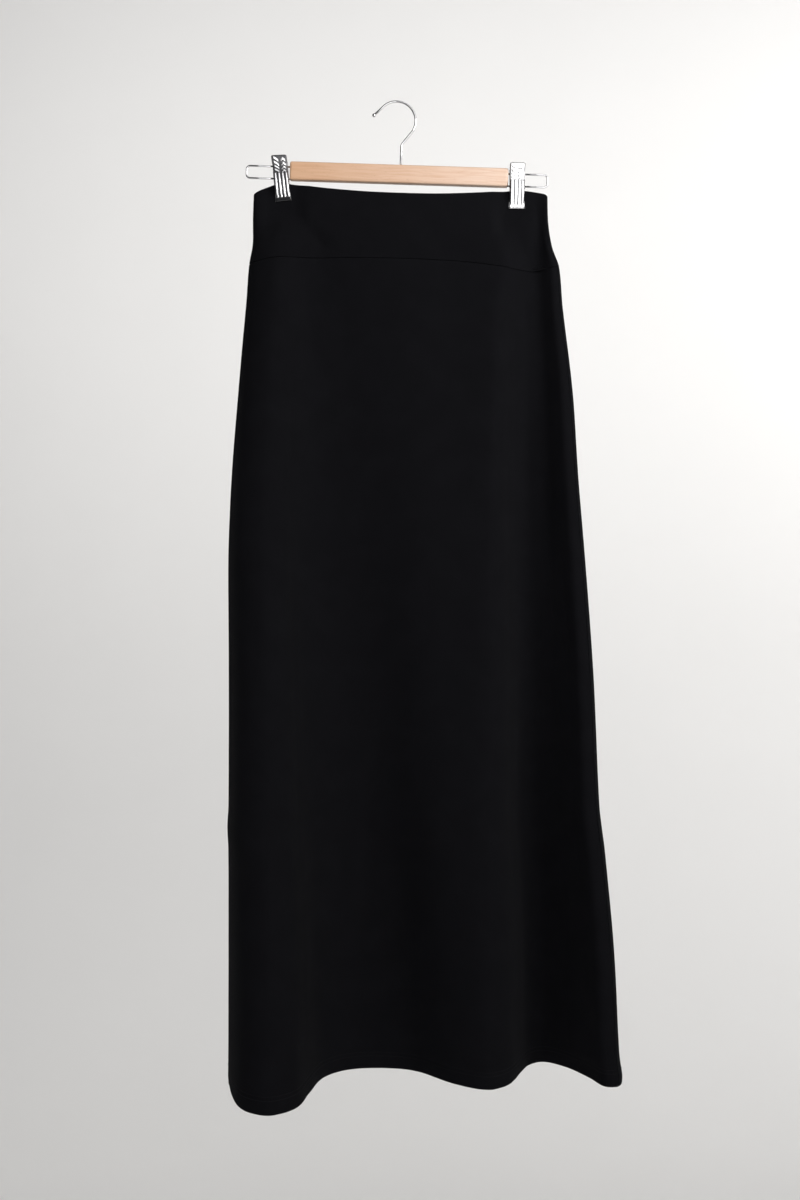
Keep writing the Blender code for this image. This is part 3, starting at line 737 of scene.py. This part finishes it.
# Painted light and shade along the bar: darker to the left, paler to the right.
painted_light_along_bar = beech.blend(BEECH_SHADED_LEFT, BEECH_LIT_RIGHT, bar_x * 4.2 + 0.56)
grain = beech.blend(painted_light_along_bar, BEECH_STREAK, (streak - 0.42) * 1.5)
figured = beech.blend(grain, BEECH_FIGURE, (figure - 0.45) * 1.2)
beech.shade("Base Color", beech.blend(figured, BEECH_FLECK, fleck * 0.42))
beech.shade("Roughness", streak * 0.18 + 0.36)
beech.bump(streak + fleck * -0.35, GRAIN_DEPTH * MM, 0.5)


def bore(mesh, radius, depth, centre, axis):
    """A round hole to be, along X or Z of the hanger."""
    turn = Matrix.Rotation(math.pi / 2.0, 4, "Y") if axis == "X" else Matrix.Identity(4)
    bmesh.ops.create_cone(
        mesh, cap_ends=True, segments=24, radius1=radius * MM, radius2=radius * MM,
        depth=depth * MM, matrix=Matrix.Translation(place(*centre)) @ turn)


def cut_holes(mesh, holes, sheet=0.0):
    """Cut one mesh out of another, and give the result back as a mesh to go on with.

    A surface is first given the thickness of its sheet, inwards.
    """
    blank, cutter = loose_object("blank", mesh), loose_object("cutter", holes)
    if sheet:
        wall = blank.modifiers.new("Sheet", "SOLIDIFY")
        wall.thickness = sheet * MM
        wall.offset = -1.0
    cutting = blank.modifiers.new("Holes", "BOOLEAN")
    cutting.solver = "EXACT"
    cutting.object = cutter
    cut = blank.evaluated_get(bpy.context.evaluated_depsgraph_get()).to_mesh()
    result = bmesh.new()
    result.from_mesh(cut)
    for piece in (blank, cutter):
        bpy.data.objects.remove(piece)
    return result


bar = bmesh.new()
bmesh.ops.create_cube(bar, size=1.0, matrix=(
    Matrix.Translation(place(BAR_CENTRE_X, 0.0, BAR_CENTRE_Z))
    @ Matrix.Diagonal((BAR_LENGTH * MM, BAR_THICKNESS * MM, BAR_HEIGHT * MM, 1.0))))
bmesh.ops.bevel(bar, geom=bar.edges, offset=BAR_ROUNDING * MM, affect="EDGES", segments=6,
                profile=0.5, material=-1)
holes = bmesh.new()
bore(holes, HOOK_WIRE + BORE_PLAY, 2.0 * (STEM_SET + BORE_PLAY),
     (STEM_X, 0.0, BAR_CENTRE_Z + BAR_HEIGHT / 2.0), "Z")
for end in (-1.0, 1.0):
    for run in (-0.5, 0.5):
        bore(holes, LOOP_WIRE + BORE_PLAY, 2.0 * (LOOP_SET + BORE_PLAY),
             (BAR_CENTRE_X + end * BAR_LENGTH / 2.0, 0.0, LOOP_Z + run * LOOP_SPREAD), "X")
bar = cut_holes(bar, holes)
bmesh.ops.transform(bar, matrix=HANG, verts=bar.verts)
wooden_bar = finish_piece("wooden_bar", bar, beech, "beech", "hanger_bar")
wooden_bar.data.set_sharp_from_angle(angle=math.radians(40.0))

# Hook: one length of chromed steel wire, 2.4 mm thick. Its stem is set in the bar, it bends over to
# the left in a round bow, and a small ball is formed on its tip.
STEM_TOP = -51.0
NECK_RADIUS = 8.0
NECK_TURN = 37.9  # degrees
NECK_TO_BOW = 14.9
HOOK_RADIUS = 22.0  # to the middle of the wire
BOW_TURN = 172.9
HOOK_TIP = 14.5  # straight length after the bow
HOOK_BALL = 2.1
DEGREES_A_STEP = 6.0  # of a bend
CHROME_DARK = (0.52, 0.52, 0.53, 1.0)
CHROME_BRIGHT = (0.72, 0.72, 0.73, 1.0)
POLISH_DEPTH = 0.04

chrome = Finish("chrome", {"Metallic": 1.0, "Specular Tint": (0.35, 0.35, 0.36, 1.0)})
on_metal = chrome.on_object()
smear = chrome.noise(on_metal, 160.0, 3.0)
orange_peel = chrome.noise(on_metal, 900.0)
chrome.shade("Base Color", chrome.blend(CHROME_DARK, CHROME_BRIGHT, smear * 1.4 - 0.1))
chrome.shade("Roughness", smear * 0.05 + 0.025)
chrome.bump(orange_peel, POLISH_DEPTH * MM, 0.1)


def start_wire(mesh, spot, way, up, radius, sides):
    """A wire's closed first end, and the edges to draw it out from."""
    section = bmesh.ops.create_circle(
        mesh, cap_ends=True, segments=sides, radius=radius * MM, matrix=(
            Matrix.Translation(spot) @ way.to_track_quat("Z", up).to_matrix().to_4x4()))["verts"]
    return [e for e in mesh.edges if set(e.verts) <= set(section)]


def draw_out(mesh, end, move):
    """Lengthen a mesh from some open edges, and give back the new open edges."""
    grown = bmesh.ops.extrude_edge_only(mesh, edges=end)["geom"]
    bmesh.ops.translate(mesh, vec=move,
                        verts=[g for g in grown if isinstance(g, bmesh.types.BMVert)])
    return [g for g in grown if isinstance(g, bmesh.types.BMEdge)
            and all(v in grown for v in g.verts)]


def bend_wire(mesh, start, heading, radius, bends, sides=16):
    """Bend a round wire in the hanger's plane, as a wire bender does.

    Each bend is a straight length, then a turn in degrees, to the left where it is above zero, and
    the radius of that turn.
    """
    heading = math.radians(heading)
    way = Vector((math.cos(heading), 0.0, math.sin(heading)))
    spot = place(*start)
    end = start_wire(mesh, spot, way, "Y", radius, sides)
    for straight, turn, bend_radius in bends:
        if straight:
            end = draw_out(mesh, end, way * straight * MM)
            spot = spot + way * straight * MM
        if turn:
            side = math.copysign(1.0, turn)
            left = Vector((-way.z, 0.0, way.x))
            centre = spot + left * side * bend_radius * MM
            steps = max(4, round(abs(turn) / DEGREES_A_STEP))
            last = bmesh.ops.spin(mesh, geom=end, cent=centre, axis=(0.0, -side, 0.0),
                                  angle=math.radians(abs(turn)), steps=steps,
                                  use_duplicate=False)["geom_last"]
            end = [e for e in last if isinstance(e, bmesh.types.BMEdge)]
            rotation = Matrix.Rotation(math.radians(-turn), 3, "Y")
            spot = centre + rotation @ (spot - centre)
            way = rotation @ way
    bmesh.ops.edgenet_fill(mesh, edges=end)
    bmesh.ops.recalc_face_normals(mesh, faces=mesh.faces)
    return spot


hook = bmesh.new()
stem_foot = BAR_CENTRE_Z + BAR_HEIGHT / 2.0 - STEM_SET
tip = bend_wire(hook, (STEM_X, 0.0, stem_foot), 90.0, HOOK_WIRE, (
    (STEM_TOP - stem_foot, -NECK_TURN, NECK_RADIUS),
    (NECK_TO_BOW, BOW_TURN, HOOK_RADIUS),
    (HOOK_TIP, 0.0, 0.0),
))
bmesh.ops.create_uvsphere(hook, u_segments=24, v_segments=14, radius=HOOK_BALL * MM,
                          matrix=Matrix.Translation(tip))
bmesh.ops.transform(hook, matrix=HANG, verts=hook.verts)
finish_piece("hook_wire", hook, chrome, "chrome", "hanger_hook")

# Wire loops: a rounded loop of 2 mm chromed wire in each end of the bar, whose two ends are pushed
# into the wood. The clips ride on their upper runs.
LOOP_REACH = {"left": 49.5, "right": 45.0}  # past the end of the bar
LOOP_CORNER = 4.0
for side, sign in (("left", -1.0), ("right", 1.0)):
    loop = bmesh.new()
    end = BAR_CENTRE_X + sign * (BAR_LENGTH / 2.0 - LOOP_SET)
    out_run = LOOP_SET + LOOP_REACH[side] - LOOP_CORNER
    turn = -90.0 * sign
    bend_wire(loop, (end, 0.0, LOOP_Z + LOOP_SPREAD / 2.0), 90.0 - sign * 90.0, LOOP_WIRE, (
        (out_run, turn, LOOP_CORNER),
        (LOOP_SPREAD - 2.0 * LOOP_CORNER, turn, LOOP_CORNER),
        (out_run, 0.0, 0.0),
    ), 12)
    bmesh.ops.transform(loop, matrix=HANG, verts=loop.verts)
    finish_piece(f"loop_wire_{side}", loop, chrome, "chrome", f"wire_loop_{side}")

# Clips: each has two jaws pressed from chromed steel sheet, hung by their ears on the upper wire.
# Handles are pressed with slanting ridges and jaws with long ribs, sides are turned back, and a
# plain lip turns out at the bottom. The hollows between the ribs and ridges and the turned sides
# are painted dark as shade, fully on the left clip and only faintly on the right one.
# The last column is how dark the painted shade in a clip's hollows is: full on the left clip, faint
# on the right.
Clip = namedtuple("Clip", "side x lean twist dullness")
CLIPS = (
    Clip("left", -131.2, -7.5, -9.0, 1.0),
    Clip("right", 140.0, -1.0, 0.0, 0.12),
)
JAW_SHEET = 0.8
JAW_HALF_WIDTH = {"front": 8.8, "back": 7.7}  # over the ears
JAW_ROWS = 120
CREST_STEPS = 12  # columns to a rib
FLANGE_STEPS = 7
CORNER_STEPS = 3
FACE_EDGE = 1.3  # how far the face stops short of the ears' outside
CORNER = 0.8  # radius of the corner
RIB_PITCH = 4.1
RIB_CROWN = 0.95  # half the width of a rib's crown
RIB_FOOT = 1.5  # half its width at the foot
RIB_HEIGHT = 0.8
RIB_ROUNDING = 0.12
RIB_FADE_UP = 1.2
RIB_FADE_DOWN = 1.4
RIB_TOP = -8.0  # measured from the wire that carries the clip
RIB_BOTTOM = -36.6
RIDGE_HEIGHT = 0.42
RIDGE_STEP = 0.7  # underside of a ridge, below its edge
RIDGE_FACET = 2.4  # slope above its edge
RIDGE_FALL = 0.34  # how fast the ridges fall to the right
RIDGE_CURL = 0.05
RIDGE_PLACES = (6.0, 1.9, -2.2, -6.3)  # edges, at the middle of a column
RIDGE_CENTRE = 3.9  # of each of the two columns
RIDGE_HALF = 2.9
RIDGE_FADE = 0.7
FACET_FADE = 0.5
# Painted shade, put into the hollows and on the turned sides.
CLIP_PAINTED_SHADE = (0.09, 0.09, 0.095, 1.0)  # in the hollows
CLIP_WORN = (0.74, 0.74, 0.75, 1.0)
CLIP_BRIGHT = (0.90, 0.90, 0.91, 1.0)
# Painted shade on the jaws' turned sides.
FLANGE_PAINTED_SHADE = 0.85
TWIST_FADE = 8.0  # the lip stays flat on the cloth
EAR_TOP = 3.2
EAR_BOTTOM = -5.5
EAR_REACH = -2.7
EAR_FADE = 1.2

# Outside of a jaw, from its handle down to its lip: "out" is measured from the middle plane,
# "flare" widens it, and "back_to" is how far back its turned sides reach.
Profile = namedtuple("Profile", "z out flare back_to")
JAW_PROFILE = (
    Profile(9.8, 10.1, -0.5, 9.5),
    Profile(8.9, 9.3, -0.1, 7.6),
    Profile(6.6, 7.9, 0.0, 5.6),
    Profile(3.0, 5.4, 0.0, 3.0),
    Profile(0.0, 4.5, 0.0, 2.4),
    Profile(-5.5, 5.3, 0.0, 2.6),
    Profile(-13.0, 7.0, 0.0, 3.2),
    Profile(-21.5, 7.0, 0.0, 3.3),
    Profile(-29.5, 5.4, 0.0, 3.3),
    Profile(-34.5, 3.66, 0.1, 3.2),
    Profile(-38.4, 3.66, 0.4, 3.3),
    Profile(-39.4, 4.1, 0.5, 3.7),
    Profile(-40.0, 4.7, 0.5, 4.4),
)


def pressed(x, z):
    """What is pressed into a jaw at one place: its height, and how far it is kept free of painted
    shade, from 0 to 1.
    """
    beside = abs((x / RIB_PITCH) % 1.0 - 0.5) * RIB_PITCH
    along = ease((RIB_TOP - z) / RIB_FADE_UP) * ease((z - RIB_BOTTOM) / RIB_FADE_DOWN)
    rib = ease((RIB_FOOT - beside) / (RIB_FOOT - RIB_CROWN)) * along
    rib *= 1.0 - RIB_ROUNDING * beside ** 2
    across = abs(x) - RIDGE_CENTRE
    from_middle = math.copysign(across, x) if x > 0.0 else -across
    width = ease((RIDGE_HALF - abs(across)) / RIDGE_FADE)
    ridge = facet = 0.0
    for edge in RIDGE_PLACES:
        above = z - edge + RIDGE_FALL * from_middle + RIDGE_CURL * (from_middle + RIDGE_HALF) ** 2
        if -RIDGE_STEP < above < RIDGE_FACET:
            rise = 1.0 - above / RIDGE_FACET if above > 0.0 else 1.0 + above / RIDGE_STEP
            ridge = max(ridge, rise)
            facet = max(facet, ease((above + 0.3) / FACET_FADE)
                        * ease((RIDGE_FACET - above) / FACET_FADE))
    # The crests of the ribs and the ridge facets are kept free of the painted shade.
    lit_rib_crest = ease((RIB_FOOT - 0.1 - beside) / 0.35) * along
    return max(rib * RIB_HEIGHT, ridge * width * RIDGE_HEIGHT), max(lit_rib_crest, facet * width)


def press_jaw(jaw, twist, dullness):
    """The outside of one jaw, as a sheet that faces the front or the back."""
    facing = 1.0 if jaw == "front" else -1.0
    half = JAW_HALF_WIDTH[jaw]
    face_columns = round(2.0 * (half - FACE_EDGE) / RIB_PITCH * CREST_STEPS)
    columns = face_columns + 2 * FLANGE_STEPS
    mesh = bmesh.new()
    bmesh.ops.create_grid(mesh, x_segments=columns, y_segments=JAW_ROWS, size=1.0)
    painted_shade = mesh.verts.layers.float.new("painted_shade")
    top, bottom = JAW_PROFILE[0].z, JAW_PROFILE[-1].z
    for vert in mesh.verts:
        column = round((vert.co.x + 1.0) / 2.0 * columns)
        z = mix(bottom, top, (vert.co.y + 1.0) / 2.0)
        out, flare, back_to = (read(JAW_PROFILE[::-1], column_name, "z", z)
                               for column_name in ("out", "flare", "back_to"))
        ear = (ease((EAR_TOP + EAR_FADE - z) / EAR_FADE)
               * ease((z - EAR_BOTTOM + EAR_FADE) / EAR_FADE))
        back_to = min(mix(back_to, EAR_REACH, ear), out - CORNER)
        widest = half + flare
        from_face = max(FLANGE_STEPS - column, column - face_columns - FLANGE_STEPS, 0)
        side = -1.0 if column < columns / 2 else 1.0
        if from_face:
            turn = min(1.0, from_face / CORNER_STEPS) * math.pi / 2.0
            share = max(0.0, from_face - CORNER_STEPS) / (FLANGE_STEPS - CORNER_STEPS)
            x = widest - FACE_EDGE + mix(CORNER * math.sin(turn), FACE_EDGE, share)
            x *= side
            out = mix(out - CORNER * (1.0 - math.cos(turn)), back_to, share)
            # The turned sides get painted shade.
            vert[painted_shade] = FLANGE_PAINTED_SHADE
        else:
            x = (2.0 * (column - FLANGE_STEPS) / face_columns - 1.0) * (widest - FACE_EDGE)
            height, kept_lit = pressed(x, z)
            out += height
            # Painted shade in the hollows, as strong as the clip's setting.
            vert[painted_shade] = (1.0 - kept_lit) * dullness
        if out > 0.0:
            out += math.tan(math.radians(twist)) * x * facing * ease((z - RIB_BOTTOM) / TWIST_FADE)
        vert.co = place(x, facing * out, z)
    bmesh.ops.recalc_face_normals(mesh, faces=mesh.faces)
    front = max(mesh.faces, key=lambda face: -facing * face.calc_center_median().y)
    if front.normal.y * facing > 0.0:
        bmesh.ops.reverse_faces(mesh, faces=mesh.faces)
    return mesh


pressed_chrome = Finish("pressed_chrome", {"Metallic": 1.0})
on_jaw = pressed_chrome.on_object()
# The painted shade darkens the base colour in the hollows and on the turned sides.
painted_shade_mask = pressed_chrome.add("ShaderNodeAttribute", {"attribute_name": "painted_shade"}, {}, "Fac")
cloudy = pressed_chrome.noise(on_jaw, 240.0, 3.0)
polish = pressed_chrome.noise(on_jaw, 1100.0)
bright = pressed_chrome.blend(CLIP_WORN, CLIP_BRIGHT, cloudy)
pressed_chrome.shade("Base Color", pressed_chrome.blend(bright, CLIP_PAINTED_SHADE, painted_shade_mask))
pressed_chrome.shade("Roughness", painted_shade_mask * 0.16 + cloudy * 0.08 + 0.12)
pressed_chrome.bump(polish, POLISH_DEPTH * MM, 0.12)


def pivot_of(clip):
    """Where a clip hangs on its wire."""
    return HANG @ Matrix.Translation(place(clip.x, 0.0, LOOP_Z + LOOP_SPREAD / 2.0))


for clip in CLIPS:
    lean = pivot_of(clip) @ Matrix.Rotation(math.radians(clip.lean), 4, "Y")
    for jaw in ("front", "back"):
        holes = bmesh.new()
        bore(holes, LOOP_WIRE + BORE_PLAY, 4.0 * JAW_HALF_WIDTH["front"], (0.0, 0.0, 0.0), "X")
        bmesh.ops.rotate(holes, matrix=Matrix.Rotation(math.radians(-clip.lean), 3, "Y"),
                         verts=holes.verts)
        mesh = cut_holes(press_jaw(jaw, clip.twist, clip.dullness), holes, JAW_SHEET)
        bmesh.ops.transform(mesh, matrix=lean, verts=mesh.verts)
        piece = finish_piece(f"clip_{clip.side}_{jaw}_jaw", mesh, pressed_chrome, "chrome",
                             f"clip_{clip.side}_{jaw}")
        piece.data.set_sharp_from_angle(angle=math.radians(50.0))

# Clip springs: six turns of hard steel wire round the loop's upper run, between the jaws' ears. A
# leg at each end of the coil presses the two handles apart, so that the jaws close.
SPRING_WIRE = 0.7
SPRING_RADIUS = 2.6  # to the middle of its wire
SPRING_TURNS = 6
SPRING_HALF_LENGTH = 5.1
SPRING_STEPS = 18  # to a turn
LEG_LENGTH = 6.5
LEG_SPLAY = 38.0  # degrees from upright
SPRING_DARK = (0.16, 0.155, 0.15, 1.0)
SPRING_LIGHT = (0.34, 0.33, 0.32, 1.0)
SPRING_DEPTH = 0.05

spring_steel = Finish("spring_steel", {"Metallic": 1.0})
on_spring = spring_steel.on_object()
temper = spring_steel.noise(on_spring, 420.0, 3.0)
spring_steel.shade("Base Color", spring_steel.blend(SPRING_DARK, SPRING_LIGHT, temper))
spring_steel.shade("Roughness", temper * 0.2 + 0.28)
spring_steel.bump(temper, SPRING_DEPTH * MM, 0.4)

for clip in CLIPS:
    coil = bmesh.new()
    splay = math.radians(LEG_SPLAY)
    upward = Vector((0.0, -math.sin(splay), math.cos(splay)))
    foot = Vector((-SPRING_HALF_LENGTH, -SPRING_RADIUS * math.cos(splay),
                   -SPRING_RADIUS * math.sin(splay))) * MM
    end = start_wire(coil, foot + upward * LEG_LENGTH * MM, upward, "X", SPRING_WIRE, 10)
    end = draw_out(coil, end, -upward * LEG_LENGTH * MM)
    steps = round((SPRING_TURNS - 2.0 * LEG_SPLAY / 360.0) * SPRING_STEPS)
    last = bmesh.ops.spin(
        coil, geom=end, cent=(0.0, 0.0, 0.0), axis=(1.0, 0.0, 0.0), steps=steps,
        dvec=(2.0 * SPRING_HALF_LENGTH * MM / steps, 0.0, 0.0),
        angle=math.radians(360.0 * SPRING_TURNS - 2.0 * LEG_SPLAY))["geom_last"]
    end = [g for g in last if isinstance(g, bmesh.types.BMEdge)]
    end = draw_out(coil, end, Vector((0.0, -upward.y, upward.z)) * LEG_LENGTH * MM)
    bmesh.ops.edgenet_fill(coil, edges=end)
    bmesh.ops.recalc_face_normals(coil, faces=coil.faces)
    bmesh.ops.transform(coil, matrix=pivot_of(clip), verts=coil.verts)
    finish_piece(f"clip_{clip.side}_coil", coil, spring_steel, "spring_steel",
                 f"clip_{clip.side}_spring")

# Studio: a pale paper sweep, floor and wall in one, far enough back to walk round the skirt. A
# soft light stands close by on the right, with weaker ones in front, on the left and behind, and
# others light the paper. Sizes are in metres, and light in watts.
STUDIO_HALF_WIDTH = 7.0
PAPER_FRONT = -6.0
PAPER_BACK = 3.3
FLOOR = -2.0
PAPER_TOP = 4.0
COVE = 1.3
PAPER_GREY = (0.84, 0.835, 0.825, 1.0)
PAPER_WHITE = (0.86, 0.855, 0.845, 1.0)

paper_mesh = bmesh.new()
bmesh.ops.create_grid(paper_mesh, x_segments=1, y_segments=1, size=1.0, matrix=(
    Matrix.Translation((0.0, (PAPER_FRONT + PAPER_BACK) / 2.0, FLOOR))
    @ Matrix.Diagonal((STUDIO_HALF_WIDTH, (PAPER_BACK - PAPER_FRONT) / 2.0, 1.0, 1.0))))
far_edge = [e for e in paper_mesh.edges if all(v.co.y > PAPER_BACK - 0.01 for v in e.verts)]
draw_out(paper_mesh, far_edge, (0.0, 0.0, PAPER_TOP - FLOOR))
bmesh.ops.bevel(paper_mesh, geom=far_edge, offset=COVE, affect="EDGES", segments=24,
                profile=0.5, material=-1)
bmesh.ops.recalc_face_normals(paper_mesh, faces=paper_mesh.faces)

paper = Finish("paper", {"Specular IOR Level": 0.1})
on_paper = paper.on_object()
paper.shade("Base Color", paper.blend(PAPER_GREY, PAPER_WHITE, paper.noise(on_paper, 3.0)))
paper.shade("Roughness", 0.9)
sweep = loose_object("paper_sweep", paper_mesh)
sweep.data.materials.append(paper.material)
sweep.data.shade_smooth()

# Soft rectangular lights. One that isn't "mirrored" is kept out of what metal mirrors, and one that
# doesn't "light" is a card for the metal alone.
SUN_WHITE = (1.0, 0.985, 0.96)
WHITE = (1.0, 0.99, 0.985)
Lamp = namedtuple("Lamp", "name where aim width height power colour lights mirrored",
                  defaults=(WHITE, True, True))
LAMPS = (
    Lamp("key", (1.138, -0.776, 0.212), (0.03, 0.0, -0.15), 0.7, 0.7, 17.0, SUN_WHITE),
    Lamp("front_fill", (0.03, -2.35, 0.355), (0.03, 0.0, -0.5), 1.5, 1.5, 23.4, mirrored=False),
    Lamp("left_fill", (-1.856, -1.583, -0.934), (0.03, 0.0, -0.5), 1.5, 1.5, 7.4, mirrored=False),
    Lamp("back_light", (-0.7, 2.3, 0.6), (0.03, 0.0, -0.6), 1.4, 1.8, 5.0, mirrored=False),
    Lamp("floor_light", (0.0, -1.6, -1.35), (0.0, -1.6, -2.0), 8.0, 4.8, 2.5, mirrored=False),
    Lamp("paper_light", (-0.1, 1.0, 0.3), (-0.1, 3.3, 0.3), 5.6, 3.6, 26.5),
    Lamp("paper_top_light", (0.0, 1.0, 1.25), (0.0, 3.3, 1.25), 4.2, 1.8, 44.0),
    Lamp("paper_right_light", (3.4, 1.0, 0.9), (3.4, 3.3, 0.9), 1.4, 2.2, 76.0),
    Lamp("tall_card", (1.8, -1.2, 0.5), (1.8, 0.0, 0.5), 3.6, 5.0, 62.0, lights=False),
    Lamp("near_card", (0.46, -0.35, -0.1), (0.46, 0.0, -0.1), 0.88, 1.2, 3.0, lights=False),
)
for lamp in LAMPS:
    glow = bpy.data.lights.new(lamp.name, "AREA")
    glow.shape = "RECTANGLE"
    glow.size, glow.size_y = lamp.width, lamp.height
    glow.energy = lamp.power
    glow.color = lamp.colour
    light = bpy.data.objects.new(lamp.name, glow)
    light.location = lamp.where
    beam = Vector(lamp.aim) - Vector(lamp.where)
    light.rotation_euler = beam.to_track_quat("-Z", "Y").to_euler()
    light.visible_camera = False
    light.visible_diffuse = lamp.lights
    light.visible_glossy = lamp.mirrored
    bpy.context.scene.collection.objects.link(light)

# The air is pale to look at and dim as a light.
AIR_AS_LIGHT = 0.089
AIR_TO_LOOK_AT = 0.80
world = bpy.data.worlds.new("studio")
world.use_nodes = True
air = world.node_tree.nodes["Background"]
air.inputs["Color"].default_value = (0.93, 0.95, 0.97, 1.0)
seen = world.node_tree.nodes.new("ShaderNodeLightPath")
strength = world.node_tree.nodes.new("ShaderNodeMapRange")
world.node_tree.links.new(seen.outputs["Is Camera Ray"], strength.inputs["Value"])
strength.inputs["To Min"].default_value = AIR_AS_LIGHT
strength.inputs["To Max"].default_value = AIR_TO_LOOK_AT
world.node_tree.links.new(strength.outputs["Result"], air.inputs["Strength"])
bpy.context.scene.world = world
bpy.context.scene.view_settings.view_transform = "Standard"

# Camera: level with the middle of the skirt, 1.45 m in front of it, upright as the photograph is.
CAMERA_X = 3.435
CAMERA_OUT = 1450.0
CAMERA_Z = -569.6
FRAME_HEIGHT = 1374.0  # what the picture spans at the hanger
lens = bpy.data.cameras.new("camera")
lens.sensor_width = 36.0
lens.lens = lens.sensor_width * CAMERA_OUT / FRAME_HEIGHT
camera = bpy.data.objects.new("camera", lens)
camera.location = place(CAMERA_X, CAMERA_OUT, CAMERA_Z)
camera.rotation_euler = (math.pi / 2.0, 0.0, 0.0)
bpy.context.scene.collection.objects.link(camera)
bpy.context.scene.camera = camera
